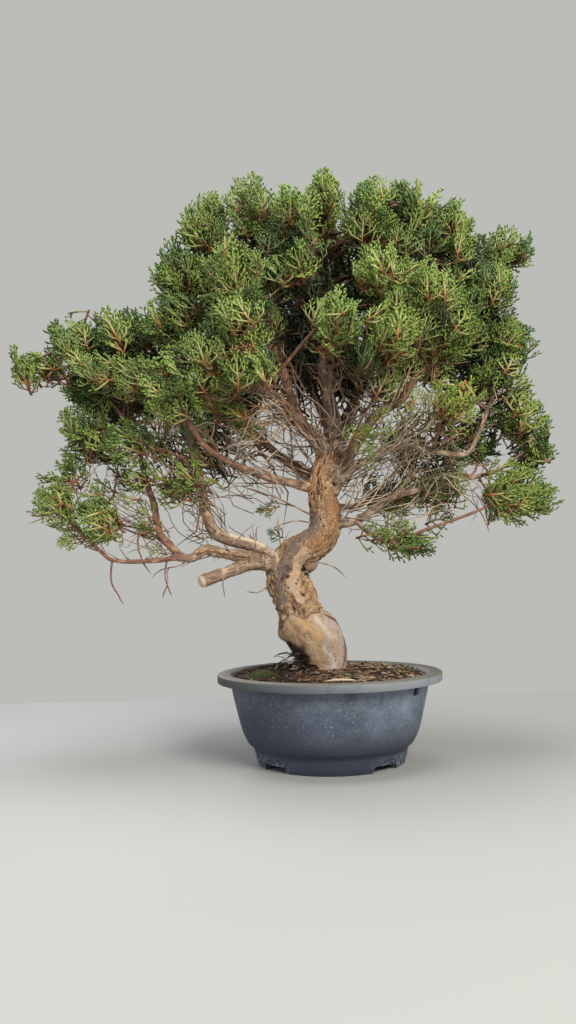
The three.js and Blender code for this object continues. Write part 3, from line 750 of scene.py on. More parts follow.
def curve_through(points, spacing):
    """A Catmull-Rom curve through rows of numbers, as rows spaced evenly along its first three."""
    rows = np.array(points, float)
    padded = np.vstack([2 * rows[0] - rows[1], rows, 2 * rows[-1] - rows[-2]])
    share = np.linspace(0, 1, CURVE_STEPS, endpoint=False)[:, None]
    spans = [
        0.5 * (
            2 * start + (end - before) * share
            + (2 * before - 5 * start + 4 * end - after) * share ** 2
            + (3 * start - before - 3 * end + after) * share ** 3
        )
        for before, start, end, after in zip(padded, padded[1:], padded[2:], padded[3:])
    ]
    fine = np.vstack([*spans, rows[-1:]])
    steps = np.linalg.norm(np.diff(fine[:, :3], axis=0), axis=1)
    length = np.concatenate([[0], np.cumsum(steps)])
    count = max(2, round(length[-1] / spacing))
    wanted = np.linspace(0, length[-1], count + 1)
    return np.stack([np.interp(wanted, length, column) for column in fine.T], axis=1)


def headings(centres):
    """The direction of a path at each of its points."""
    ahead = [b - a for a, b in zip(centres, centres[1:])]
    between = [a.normalized() + b.normalized() for a, b in zip(ahead, ahead[1:])]
    return [direction.normalized() for direction in (ahead[0], *between, ahead[-1])]


def ring_place(centre, across, heading, radius):
    """Lays a unit circle round a centre, facing along the heading."""
    sideways = heading.cross(across)
    turn = Matrix((across, sideways, heading)).transposed().to_4x4()
    return Matrix.Translation(centre) @ turn @ Matrix.Diagonal((radius, radius, 1, 1))


def grow_stem(bm, rows, sides, blunt=False):
    """Extrudes a ring along rows of x, y, z, radius and value. The last row is the tip."""
    value, around, along = (bm.verts.layers.float[name] for name in LAYERS[:3])
    centres = [Vector(row[:3]) for row in rows]
    ahead = headings(centres)
    across = ahead[0].orthogonal().normalized()
    place = ring_place(centres[0], across, ahead[0], rows[0][3])
    circle = bmesh.ops.create_circle(bm, cap_ends=True, radius=1, segments=sides, matrix=place)
    ring = circle["verts"]
    for corner, vert in enumerate(ring):
        vert[around] = corner / sides
        vert[value] = rows[0][4]
    edges = list({edge for vert in ring for edge in vert.link_edges})
    travelled = 0.0
    for step in range(1, len(rows)):
        across = ahead[step - 1].rotation_difference(ahead[step]) @ across
        across = (across - ahead[step] * across.dot(ahead[step])).normalized()
        travelled += (centres[step] - centres[step - 1]).length
        radius = max(rows[step][3], THINNEST)
        next_place = ring_place(centres[step], across, ahead[step], radius)
        geom = bmesh.ops.extrude_edge_only(bm, edges=edges)["geom"]
        ring = [item for item in geom if isinstance(item, bmesh.types.BMVert)]
        edges = [item for item in geom if isinstance(item, bmesh.types.BMEdge) and item.is_boundary]
        bmesh.ops.transform(bm, matrix=next_place @ place.inverted(), verts=ring)
        place = next_place
        for vert in ring:
            vert[value] = rows[step][4]
            vert[along] = travelled
    if blunt:
        bmesh.ops.contextual_create(bm, geom=edges)
    else:
        bmesh.ops.pointmerge(bm, verts=ring, merge_co=centres[-1])


def grow_bud(bm, start, ahead, length, radius, value):
    """A closed three-sided bud, thickest past its middle."""
    layer, around = bm.verts.layers.float["value"], bm.verts.layers.float["around"]
    across = ahead.orthogonal().normalized()
    place = ring_place(start + ahead * length * BUD_WAIST, across, ahead, radius)
    ring = bmesh.ops.create_circle(bm, cap_ends=False, radius=1, segments=3, matrix=place)["verts"]
    for corner, vert in enumerate(ring):
        vert[around] = corner / 3
        vert[layer] = value
    edges = list({edge for vert in ring for edge in vert.link_edges})
    for end, end_value in ((start + ahead * length, 1.0), (start, value - 0.12)):
        geom = bmesh.ops.extrude_edge_only(bm, edges=edges)["geom"]
        point = [item for item in geom if isinstance(item, bmesh.types.BMVert)]
        for vert in point:
            vert[layer] = min(1.0, end_value)
        bmesh.ops.pointmerge(bm, verts=point, merge_co=end)


def write_map(bm, name, place_of):
    """Writes a UV map from each face corner's vertex. Faces over the seam go once round further."""
    around = bm.verts.layers.float["around"]
    uv = bm.loops.layers.uv.new(name)
    for face in bm.faces:
        shares = [loop.vert[around] for loop in face.loops]
        over = max(shares) - min(shares) > 0.5
        for loop, share in zip(face.loops, shares):
            loop[uv].uv = place_of(loop.vert, share + 1 if over and share < 0.5 else share)


def finish_piece(bm, name, material, slot, *nodes):
    """Makes the bmesh, in millimetres, an object of the part that stands for these nodes."""
    bmesh.ops.scale(bm, vec=(MM, MM, MM), verts=bm.verts)
    mesh = mesh_of(bm, name)
    mesh.shade_smooth()
    return add_piece(mesh, name, material, slot, *nodes)


def add_object(name, data):
    made = bpy.data.objects.new(name, data)
    bpy.context.scene.collection.objects.link(made)
    return made


def add_piece(mesh, name, material, slot, *nodes):
    mesh.materials.clear()
    mesh.materials.append(material)
    piece = add_object(name, mesh)
    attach(piece, "root")
    if nodes:
        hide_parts(*nodes)
    return piece


def at_pot(point):
    """A place measured from the pot's axis, in the row frame."""
    return Vector(point[:3]) + POT_AXIS


def pot_curve(points, spacing):
    """A curve through places measured from the pot's axis, as places in the row frame."""
    places = [tuple(at_pot(point)) for point in points]
    return [Vector(row) for row in curve_through(places, spacing)]


def wobble(rng, size):
    return Vector([rng.uniform(-size, size) for _ in range(3)])


def smoothstep(low, high, value):
    share = min(1.0, max(0.0, (value - low) / (high - low)))
    return share * share * (3 - 2 * share)


def wrapped(around):
    """The place on a unit circle that is a share of the way round."""
    turn = math.tau * around
    return Vector((math.cos(turn), math.sin(turn), 0))


# The pot

FOOT_HEIGHT = 5.6
FOOT_RADIUS = 68.6
DRAIN_RADIUS = 19
FLOOR_TOP = 8.6
BAND_BOTTOM = POT_HEIGHT - 7.8
FOOT_COUNT = 4
POT_TURN = math.radians(-4)
SLOT_TURN = math.radians(-37)
SHOULDER = (74.6, 17.2)
WALL_LINE = ((77, 19), (80.4, 25), (83.4, 33), (88.2, 52), (91, 64), (92.6, BAND_BOTTOM))
SPIN_STEPS = 144
# Length, width and height of the cutters, the taper of a foot's notch and where a slot's one stands
NOTCH = (40, 31, 2 * FOOT_HEIGHT)
NOTCH_TAPER = 0.84
SLOT = (20, 8, 8.4)
SLOT_PLACE = (90, 0, BAND_BOTTOM - 5)
# How much the cutters are rounded, and the angle and length that only their upright edges have
CUTTER_ROUNDING = 1.2
UPRIGHT_ANGLE = 1
UPRIGHT_LENGTH = 15
SHARP_ANGLE = math.radians(38)


def pot_outline(wall):
    """The pot's section, from the drain hole out, up the outside and back down the inside."""
    outside = [tuple(row[:2]) for row in curve_through([(r, z, 0) for r, z in WALL_LINE], 4)]
    inside = [(r - wall, z) for r, z in outside[1:]]
    foot = [
        (DRAIN_RADIUS, FOOT_HEIGHT), (58.6, FOOT_HEIGHT), (59.6, 0.5), (60.2, 0), (68, 0),
        (FOOT_RADIUS, 0.6), (70.4, 7), (71.4, 12), (72.4, 15.2), SHOULDER, (76, 18),
    ]
    rim = [
        (RIM_RADIUS - 1.2, BAND_BOTTOM), (RIM_RADIUS - 0.3, BAND_BOTTOM + 0.3),
        (RIM_RADIUS, BAND_BOTTOM + 1.2), (RIM_RADIUS, POT_HEIGHT - 1.6),
        (RIM_RADIUS - 0.4, POT_HEIGHT - 0.5), (RIM_RADIUS - 1.5, POT_HEIGHT),
        (94.4, POT_HEIGHT), (93, POT_HEIGHT - 0.5), (91.6, POT_HEIGHT - 2.4),
        (90.2, POT_HEIGHT - 4.5),
    ]
    floor = [(71, 12), (66, FLOOR_TOP), (DRAIN_RADIUS, FLOOR_TOP)]
    return foot + outside + rim + inside[::-1] + floor


def spun(outline, steps, closed):
    """Turns a section, which ends where it starts if it is closed, round the pot's axis."""
    bm = bmesh.new()
    corners = [bm.verts.new((radius, 0, height)) for radius, height in outline]
    following = corners[1:] + corners[:1] if closed else corners[1:]
    edges = [bm.edges.new(pair) for pair in zip(corners, following)]
    bmesh.ops.spin(
        bm, geom=corners + edges, angle=math.tau, steps=steps, axis=UP, cent=(0, 0, 0),
        use_merge=True,
    )
    bmesh.ops.remove_doubles(bm, verts=bm.verts, dist=0.001)
    bmesh.ops.recalc_face_normals(bm, faces=bm.faces)
    return bm


def add_cutter(bm, size, taper, place, turn):
    """A block that narrows to its top, moved to its place and turned round the pot's axis."""
    block = bmesh.ops.create_cube(bm, size=1)["verts"]
    bmesh.ops.scale(bm, vec=size, verts=block)
    upper = [vert for vert in block if vert.co.z > 0]
    bmesh.ops.scale(bm, vec=(1, taper, 1), verts=upper)
    bmesh.ops.translate(bm, vec=place, verts=block)
    bmesh.ops.rotate(bm, cent=(0, 0, 0), matrix=Matrix.Rotation(turn, 3, "Z"), verts=block)


def cutter_bmesh():
    """The four notches between the feet and the two tie slots under the rim."""
    bm = bmesh.new()
    for foot in range(FOOT_COUNT):
        turn = POT_TURN + math.pi / FOOT_COUNT + math.tau * foot / FOOT_COUNT
        add_cutter(bm, NOTCH, NOTCH_TAPER, (FOOT_RADIUS, 0, 0), turn)
    for turn in (SLOT_TURN, SLOT_TURN + math.pi):
        add_cutter(bm, SLOT, 1, SLOT_PLACE, turn)
    upright = [
        edge for edge in bm.edges
        if edge.calc_face_angle(0) > UPRIGHT_ANGLE and edge.calc_length() < UPRIGHT_LENGTH
    ]
    bmesh.ops.bevel(
        bm, geom=upright, offset=CUTTER_ROUNDING, offset_type="OFFSET", segments=3, profile=0.5,
        affect="EDGES", material=-1,
    )
    return bm


def cut_mesh(body, cutter):
    """The body's mesh less the cutter's, both given as bmeshes, which are freed."""
    made = [add_object("cutting", mesh_of(bm, "cutting")) for bm in (body, cutter)]
    boolean = made[0].modifiers.new("cut", "BOOLEAN")
    boolean.operation = "DIFFERENCE"
    boolean.solver = "EXACT"
    boolean.object = made[1]
    evaluated = made[0].evaluated_get(bpy.context.evaluated_depsgraph_get())
    result = bpy.data.meshes.new_from_object(evaluated)
    for leftover in made:
        bpy.data.meshes.remove(leftover.data)
    return result


class BONSAI_OT_pot(Operator):
    """Turns the flanged plastic pot, cuts its feet and tie slots, weathers its surface and paints
    light on its right side
    """

    bl_idname = "bonsai.pot"
    bl_label = "Pot"

    def execute(self, context):
        settings = context.scene.bonsai_pot
        body = spun(pot_outline(settings.wall / MM), SPIN_STEPS, True)
        mesh = cut_mesh(body, cutter_bmesh())
        mesh.transform(Matrix.Scale(MM, 4) @ Matrix.Translation(POT_AXIS))
        mesh.shade_smooth()
        mesh.set_sharp_from_angle(angle=SHARP_ANGLE)
        plastic = weathered_polypropylene(settings)
        add_piece(mesh, "round_training_pot", plastic, "pot_plastic", "pot")
        return {"FINISHED"}


class BONSAI_OT_drainage(Operator):
    """Gives the drain screen, its wire clip and the drainage layer their finishes"""

    bl_idname = "bonsai.drainage"
    bl_label = "Drainage"

    def execute(self, context):
        finishes = {
            "drain_screen": black_polyethylene(),
            "screen_clip": drawn_aluminium(),
            "drainage_gravel": washed_pumice(),
        }
        for name, material in finishes.items():
            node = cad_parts[name]
            node.data.materials.clear()
            node.data.materials.append(material)
        return {"FINISHED"}


# Soil, litter and moss

SOIL_EDGE = SOIL_TOP - 6
SOIL_RADIUS = 89.4
SOIL_BOTTOM = 21.3
SOIL_RINGS = 52
SOIL_STEPS = 170
GRAIN_SIZES = (0.7, 1.9)
STRAND_LENGTHS = (5, 15)
STRAND_RADII = (0.4, 0.85)
# Where along a fallen twig its rows lie, and how wide it is there
STRAND_ROWS = ((-0.5, 0.6), (0, 1), (0.5, 0.2))
MOSS_TUFTS = {"moss_left": 560, "moss_right": 260, "moss_front": 130}
TUFT_SHOOTS = 3
# A bleached root that lies inside the front of the rim: x, y, z and radius
PALE_ROOT = (
    (-8, -84, 82, 0.6), (0, -85, 83.2, 1.1), (7, -85.5, 83.4, 1.2), (15, -84.5, 83, 0.9),
    (21, -83, 82, 0.5),
)


def ground_height(x, y):
    """Height of the soil at a place measured from the pot's axis, with its crumbs and hummocks."""
    share = min(1.0, math.hypot(x, y) / SOIL_RADIUS)
    place = Vector((x, y, 0))
    hummocks = 1.6 * noise.noise(place / 17) * (1 - share ** 4)
    crumbs = 0.9 * noise.noise(place / 3.1) + 0.5 * noise.noise(place / 1.3)
    return SOIL_TOP + (SOIL_EDGE - SOIL_TOP) * share * share + hummocks + crumbs * 0.9 - 0.6


def scattered(rng, share):
    """A random place on the soil within a share of its radius, as x and y from the pot's axis."""
    turn, radius = rng.uniform(0, math.tau), SOIL_RADIUS * share * math.sqrt(rng.random())
    return radius * math.cos(turn), radius * math.sin(turn)


class BONSAI_OT_soil(Operator):
    """Fills the pot with crumbly soil and scatters loose grains on it"""

    bl_idname = "bonsai.soil"
    bl_label = "Soil"

    def execute(self, context):
        settings = context.scene.bonsai_ground
        rng = random.Random(SEEDS["soil"])
        soil = finish_piece(soil_body(), "crumbly_soil", damp_soil(settings), "soil_mix", "soil")
        soil.data.shade_flat()
        finish_piece(loose_grains(settings.grains, rng), "loose_grains", dry_grains(), "soil_mix")
        return {"FINISHED"}


def soil_body():
    """A spun body whose top is a fine net of rings, raised and dented by the crumbs."""
    rings = np.linspace(1.2, SOIL_RADIUS, SOIL_RINGS)
    outline = [(0, SOIL_BOTTOM), (76, SOIL_BOTTOM), (80, 33), (84.8, 52), (SOIL_RADIUS, 73)]
    outline += [(radius, SOIL_EDGE) for radius in rings[::-1]] + [(0, SOIL_EDGE)]
    bm = spun(outline, SOIL_STEPS, False)
    for vert in bm.verts:
        if vert.co.z > SOIL_EDGE - 1:
            vert.co.z = ground_height(vert.co.x, vert.co.y)
    bmesh.ops.translate(bm, vec=POT_AXIS, verts=bm.verts)
    return bm


def loose_grains(count, rng):
    """Small rounded stones, half sunk in the soil."""
    bm = new_bmesh()
    for _ in range(count):
        x, y = scattered(rng, 0.97)
        size = rng.uniform(*GRAIN_SIZES)
        place = Matrix.Translation(at_pot((x, y, ground_height(x, y) + 0.25 * size)))
        place @= Matrix.Rotation(rng.uniform(0, 3), 4, wobble(rng, 1) + UP * 0.1)
        place @= Matrix.Diagonal((size, size * rng.uniform(0.6, 0.9), size * 0.6, 1))
        grain = new_bmesh()
        bmesh.ops.create_icosphere(grain, subdivisions=1, radius=1, matrix=place)
        value, tone = grain.verts.layers.float["value"], rng.random() ** 1.6
        for vert in grain.verts:
            vert[value] = tone
        join(bm, grain)
    return bm


class BONSAI_OT_litter(Operator):
    """Scatters shed brown twigs over the soil"""

    bl_idname = "bonsai.litter"
    bl_label = "Litter"

    def execute(self, context):
        settings = context.scene.bonsai_ground
        rng = random.Random(SEEDS["litter"])
        bm = new_bmesh()
        for _ in range(settings.strands):
            add_strand(bm, rng)
        grow_stem(bm, [(*at_pot(place), radius, 1.0) for *place, radius in PALE_ROOT], 6)
        finish_piece(bm, "fallen_twig_litter", fallen_twigs(settings), "soil_mix")
        return {"FINISHED"}


def add_strand(bm, rng):
    """One fallen twig: a bent spindle that lies on the soil, tilted on its neighbours."""
    x, y = scattered(rng, 0.98)
    heading = rng.uniform(0, math.tau)
    length = rng.uniform(*STRAND_LENGTHS)
    thick = rng.uniform(*STRAND_RADII)
    # Painted shade: strands grow darker towards the pot's left side
    age = rng.random() * (1 - 0.6 * smoothstep(10, -50, x))
    lift = rng.uniform(0.1, 3.2)
    rows = []
    for share, width in STRAND_ROWS:
        bend = heading + share * rng.uniform(-0.8, 0.8)
        px = x + math.cos(bend) * length * share
        py = y + math.sin(bend) * length * share
        reach = math.hypot(px, py)
        if reach > SOIL_RADIUS:
            px, py = px * SOIL_RADIUS / reach, py * SOIL_RADIUS / reach
        height = ground_height(px, py) + thick + lift * (0.4 + abs(share) * rng.uniform(0, 1.4))
        rows.append((*at_pot((px, py, height)), thick * width, age))
    strand = new_bmesh()
    grow_stem(strand, rows, 3)
    join(bm, strand)


class BONSAI_OT_moss(Operator):
    """Covers each moss cushion with tufts"""

    bl_idname = "bonsai.moss"
    bl_label = "Moss"

    def execute(self, context):
        material = living_moss(context.scene.bonsai_ground)
        for name, tufts in MOSS_TUFTS.items():
            bm = moss_bmesh(name, tufts, random.Random(name))
            finish_piece(bm, f"tufted_{name}", material, "moss", name)
        return {"FINISHED"}


def moss_bmesh(name, tufts, rng):
    """A low crumpled cushion in the node's place, with short pointed shoots all over it."""
    low, high = (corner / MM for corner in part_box(name))
    middle, half = (low + high) / 2, (high - low) / 2
    bm = new_bmesh()
    cushion = new_bmesh()
    value = cushion.verts.layers.float["value"]
    bmesh.ops.create_icosphere(cushion, subdivisions=4, radius=1)
    for vert in cushion.verts:
        x, y = middle.x + vert.co.x * half.x, middle.y + vert.co.y * half.y
        ground = ground_height(x - POT_AXIS.x, y - POT_AXIS.y)
        lump = 1.3 * noise.noise(Vector((x, y, 0)) / 4) + 0.6 * noise.noise(Vector((x, y, 9)) / 1.7)
        vert.co = Vector((x, y, ground + max(vert.co.z, -0.1) * (1.3 + lump)))
        # A quarter of the live colour: the cushion is painted dark as shade between the tufts
        vert[value] = 0.25
    join(bm, cushion)
    for _ in range(tufts):
        turn, reach = rng.uniform(0, math.tau), 0.98 * math.sqrt(rng.random())
        x = middle.x + math.cos(turn) * reach * half.x
        y = middle.y + math.sin(turn) * reach * half.y
        ground = ground_height(x - POT_AXIS.x, y - POT_AXIS.y) + math.sqrt(1 - reach ** 2)
        shoot = new_bmesh()
        for _ in range(TUFT_SHOOTS):
            lean = wobble(rng, 0.9) + UP * rng.uniform(1.4, 2.6)
            start = Vector((x, y, ground - 0.6))
            middle_row = (*(start + lean * 0.5), 0.38, 0.6)
            grow_stem(shoot, ((*start, 0.3, 0.2), middle_row, (*(start + lean), 0.1, 1)), 3)
        join(bm, shoot)
    return bm


# Trunk

TRUNK_SIDES = 104
TRUNK_GIRTH = 110
TRUNK_ZONES = (*BARK_STROKES, "peeled", "pit")
# The zones that only colour the peeled wood
BARE_ZONES = ("ochre", "cream", "mauve", "lilac")


def warped(place):
    """The place moved about by noise, so that a patch round it has a ragged outline."""
    return place + 4.5 * noise.noise_vector(place / 9) + 1.2 * noise.noise_vector(place / 3.6)


def nearness(place, strokes):
    """1 on a stroke and 0 a few reaches away from all of them, seen from the front."""
    best = 0.0
    for reach, corners in strokes:
        for (x, z), (next_x, next_z) in zip(corners, corners[1:]):
            along = Vector((next_x - x, next_z - z))
            away = Vector((place.x - POT_AXIS.x - x, place.z - z))
            share = min(1.0, max(0.0, away.dot(along) / along.length_squared))
            best = max(best, math.exp(-((away - along * share).length / reach) ** 2))
    return best


def trunk_pits(rng):
    """Places and radii of the small round scars on the middle of the trunk."""
    path = curve_through(TRUNK, 2)
    pits = [(at_pot(spot), SCAR_RADIUS) for spot in SCARS]
    for _ in range(SMALL_SCARS):
        x, y, z, radius = path[rng.randrange(len(path))]
        if SCAR_HEIGHTS[0] < z < SCAR_HEIGHTS[1]:
            turn = rng.uniform(0, math.tau)
            out = Vector((math.cos(turn), math.sin(turn), rng.uniform(-0.3, 0.3)))
            pits.append((at_pot((x, y, z)) + out * radius, rng.uniform(*SMALL_SCAR_RADII)))
    return pits


def plate_gap(along, around):
    """0 in the cracks between the plates of bark, and more further inside a plate."""
    away = noise.voronoi(wrapped(around) * 4.5 + UP * along / 8)[0]
    return away[1] - away[0]


def trunk_zones(place, along, around, pits):
    """How much of each kind of bark there is at a point of the trunk."""
    ragged = warped(place)
    wrap = wrapped(around)
    edge = PEEL_EDGE + 6 * noise.noise(wrap * 1.7 + UP * 5) + 3 * noise.noise(wrap * 6)
    front = smoothstep(6, -6, place.y - POT_AXIS.y)
    zones = {name: nearness(ragged, strokes) * front for name, strokes in BARK_STROKES.items()}
    zones["edge"] = nearness(place, BARK_STROKES["edge"]) * front
    bare = smoothstep(edge + 1, edge - 1, place.z)
    bare *= (1 - smoothstep(0.35, 0.65, zones["crust"])) * (1 - zones["hollow"])
    for name in BARE_ZONES:
        zones[name] *= bare
    pit = max((math.exp(-((place - spot).length / size) ** 4) for spot, size in pits), default=0)
    crack = smoothstep(0.2, 0.05, plate_gap(along, around)) * smoothstep(*COLLAR, place.z)
    crack *= (1 - bare) * (1 - smoothstep(0.3, 0.6, max(zones["ash"], zones["plate"])))
    # Dark pits: the scars, painted shade in the hollow and the dark cracks between the plates
    zones["pit"] = max(pit, 0.95 * smoothstep(0.25, 0.6, zones["hollow"]), 0.55 * crack)
    zones["peeled"] = bare
    return zones, edge


def trunk_relief(place, along, around, zones, edge):
    """How far the bark stands out at a point of the trunk."""
    wrap = wrapped(around)
    skin = max(zones["peeled"], smoothstep(0.3, 0.6, max(zones["ash"], zones["plate"])))
    lobes = 1.7 * noise.noise(wrap * 1.3 + UP * along / 30)
    flakes = 1.3 * min(1.0, 2.2 * plate_gap(along, around)) - 0.8
    flakes *= 1 + 0.9 * smoothstep(*COLLAR, place.z)
    crumbs = 0.7 * noise.noise(place / 3.6) + 0.3 * noise.noise(place / 1.4)
    ripple = 0.4 * noise.noise(place / 4) + 0.5 * noise.noise(place / 9)
    broken = smoothstep(-0.3, 0.2, noise.noise(wrap * 3 + UP * 2))
    lip = 2 * broken * smoothstep(edge - 1, edge + 1, place.z) * smoothstep(edge + 9, edge, place.z)
    swell = sum(
        height * math.exp(-((place - at_pot(middle)).length / reach) ** 2)
        for middle, reach, height in SWELLINGS
    )
    relief = lobes + (1 - skin) * (flakes + crumbs) + lip + ripple + swell
    relief -= 1.2 * zones["pit"] + 0.6 * zones["edge"]
    return relief * (1 - smoothstep(*RELIEF_END, place.z))


def trunk_bmesh():
    noise.seed_set(SEEDS["patches"])
    rows = curve_through([(*at_pot(row), row[3], 0.0) for row in TRUNK], 1.1)
    bm = new_bmesh()
    for zone in TRUNK_ZONES:
        bm.verts.layers.float.new(zone)
    grow_stem(bm, rows, TRUNK_SIDES)
    bmesh.ops.recalc_face_normals(bm, faces=bm.faces)
    bm.normal_update()
    pits = trunk_pits(random.Random(SEEDS["scars"]))
    layers = {zone: bm.verts.layers.float[zone] for zone in TRUNK_ZONES}
    around, along = bm.verts.layers.float["around"], bm.verts.layers.float["along"]
    moves = []
    for vert in bm.verts:
        near = [pit for pit in pits if abs(pit[0].z - vert.co.z) < 4]
        zones, edge = trunk_zones(vert.co, vert[along], vert[around], near)
        relief = trunk_relief(vert.co, vert[along], vert[around], zones, edge)
        for zone, share in zones.items():
            vert[layers[zone]] = share
        moves.append(vert.normal * relief)
    shift(bm, moves)
    bmesh.ops.smooth_vert(
        bm, verts=bm.verts, factor=0.25, use_axis_x=True, use_axis_y=True, use_axis_z=True,
    )
    write_map(bm, BARK_MAP, lambda vert, share: (vert[along] * MM, share * TRUNK_GIRTH * MM))
    return bm


class BONSAI_OT_trunk(Operator):
    """Grows the thick bent trunk with its peeled bulge and flaking bark"""

    bl_idname = "bonsai.trunk"
    bl_label = "Trunk"

    def execute(self, context):
        material = old_trunk_bark(context.scene.bonsai_tree)
        finish_piece(trunk_bmesh(), "old_trunk", material, "juniper_bark", "trunk_and_limbs")
        return {"FINISHED"}


# Limbs

# Limbs of this radius and more carry bark of full depth
FULL_BARK_RADIUS = 4.5
# Limbs of more than this radius have more sides
STOUT_RADIUS = 4
STOUT_SIDES, SLIM_SIDES = 14, 9


def limb_rows(first, last, redness, points, spacing=3.2):
    """Rows of a limb: it flares where it leaves its parent, tapers unevenly and ends thin."""
    path = pot_curve(points, spacing)
    reach = spacing * (len(path) - 1)
    rows = []
    for index, place in enumerate(path):
        share = index / (len(path) - 1)
        travelled = share * reach
        radius = first + (last - first) * share ** 0.85
        radius += 0.4 * first * math.exp(-travelled / 6)
        radius *= 1 + 0.13 * noise.noise(place / 13) + 0.07 * noise.noise(place / 5)
        rows.append((*place, radius, min(1.0, redness + 0.35 * share)))
    return rows


def roughen_limb(bm, rows, seed):
    """Strings and knots of bark along a limb, shallower where it is thin."""
    bm.normal_update()
    around, along = bm.verts.layers.float["around"], bm.verts.layers.float["along"]
    length = max(vert[along] for vert in bm.verts)
    marks = np.linspace(0, length, len(rows))
    depths = [min(1.0, row[3] / FULL_BARK_RADIUS) for row in rows]
    moves = []
    for vert in bm.verts:
        wrap = wrapped(vert[around]) + UP * seed
        strings = noise.noise(wrap * 3.1 + Vector((0, 0, vert[along] / 11)))
        knots = noise.noise(wrap * 1.1 + Vector((0, 0, vert[along] / 6)))
        depth = float(np.interp(vert[along], marks, depths))
        moves.append(vert.normal * (0.55 * strings + 0.5 * knots) * depth)
    shift(bm, moves)


def limb_bmesh():
    whole = new_bmesh()
    for order, (name, (first, last, redness, points)) in enumerate(LIMBS.items()):
        limb = new_bmesh()
        blunt = name == "cut_stub"
        rows = limb_rows(first, last, redness, points)
        if not blunt:
            rows.append((*(Vector(rows[-1][:3]) * 2 - Vector(rows[-2][:3])), 0.6, 1.0))
        grow_stem(limb, rows, STOUT_SIDES if first > STOUT_RADIUS else SLIM_SIDES, blunt)
        bmesh.ops.recalc_face_normals(limb, faces=limb.faces)
        roughen_limb(limb, rows, order * 3.7)
        paint_pale_wood(limb, name)
        along = limb.verts.layers.float["along"]
        write_map(limb, BARK_MAP, lambda vert, share: (vert[along] * MM, share * first * 5 * MM))
        join(whole, limb)
    return whole


def paint_pale_wood(limb, name):
    """Bare pale wood: the cut face of the stub and a strip along the top of the low left limb."""
    pale, along = limb.verts.layers.float["pale"], limb.verts.layers.float["along"]
    length = max(vert[along] for vert in limb.verts)
    for vert in limb.verts:
        if name == "cut_stub":
            vert[pale] = 1.0 if vert[along] > length - 0.1 else 0.25
        elif name == "low_left":
            facing = max(0.0, vert.normal.z * 0.8 - vert.normal.y * 0.6)
            vert[pale] = smoothstep(0.55, 0.85, facing) * smoothstep(80, 55, vert[along])
        elif name == "gnarled":
            vert[pale] = 0.25


class BONSAI_OT_limbs(Operator):
    """Grows the limbs from the trunk"""

    bl_idname = "bonsai.limbs"
    bl_label = "Limbs"

    def execute(self, context):
        material = limb_bark(context.scene.bonsai_tree)
        finish_piece(limb_bmesh(), "limbs", material, "juniper_bark", "trunk_and_limbs")
        return {"FINISHED"}


# Twigs

# Height from which the trunk carries twigs, and its radii from there to the fork
TWIGGY_HEIGHT = 205
TWIGGY_RADII = (14, 12)
# Limbs that carry no short side twigs
BARE_LIMBS = ("cut_stub", "right_cane")
# Lengths of the side twigs, and the share of them that fork
TWIGLET_LENGTHS = (12, 38)
FORKED_TWIGLETS = 0.55


class Carrier:
    """Points along the trunk and the limbs, from which twigs can start."""

    def __init__(self):
        stems = {name: (first, last, points) for name, (first, last, _, points) in LIMBS.items()}
        upper = [row[:3] for row in TRUNK if row[2] > TWIGGY_HEIGHT]
        stems["trunk"] = (*TWIGGY_RADII, upper)
        places, self.radii, self.names = [], [], []
        for name, (first, last, points) in stems.items():
            path = curve_through(points, 4)
            places += [at_pot(row) for row in path]
            self.radii += list(np.linspace(first, last, len(path)))
            self.names += [name] * len(path)
        self.places = np.array(places)

    def near(self, place, slack, rng):
        """The index of a point of the wood at most slack further away than the nearest one."""
        away = np.linalg.norm(self.places - np.array(place), axis=1)
        usable = np.flatnonzero(away < away.min() + slack)
        return int(usable[rng.randrange(len(usable))])


def twig_rows(start, end, radius, rng, redness=(0.5, 1.0), bend=0.12, spacing=9):
    """Rows of a thin twig with two uneven bends."""
    span = (end - start).length
    bends = [start.lerp(end, share) + wobble(rng, bend * span) for share in (0.33, 0.68)]
    for place in bends:
        place.z -= 0.04 * span
    corners = [tuple(place) for place in (start, *bends, end)]
    path = curve_through(corners, max(3, min(spacing, span / 2.5)))
    last = len(path) - 1
    return [
        (*(Vector(place) + wobble(rng, 0.35)), radius * (1 - 0.5 * index / last),
         redness[0] + (redness[1] - redness[0]) * index / last)
        for index, place in enumerate(path)
    ]


def add_stem(whole, rows, sides, paleness=0.0):
    """Grows one stem with its bark map and adds it to the piece."""
    part = new_bmesh()
    grow_stem(part, rows, sides)
    along, pale = part.verts.layers.float["along"], part.verts.layers.float["pale"]
    for vert in part.verts:
        vert[pale] = paleness
    width = rows[0][3] * 6 * MM
    write_map(part, BARK_MAP, lambda vert, share: (vert[along] * MM, share * width))
    join(whole, part)


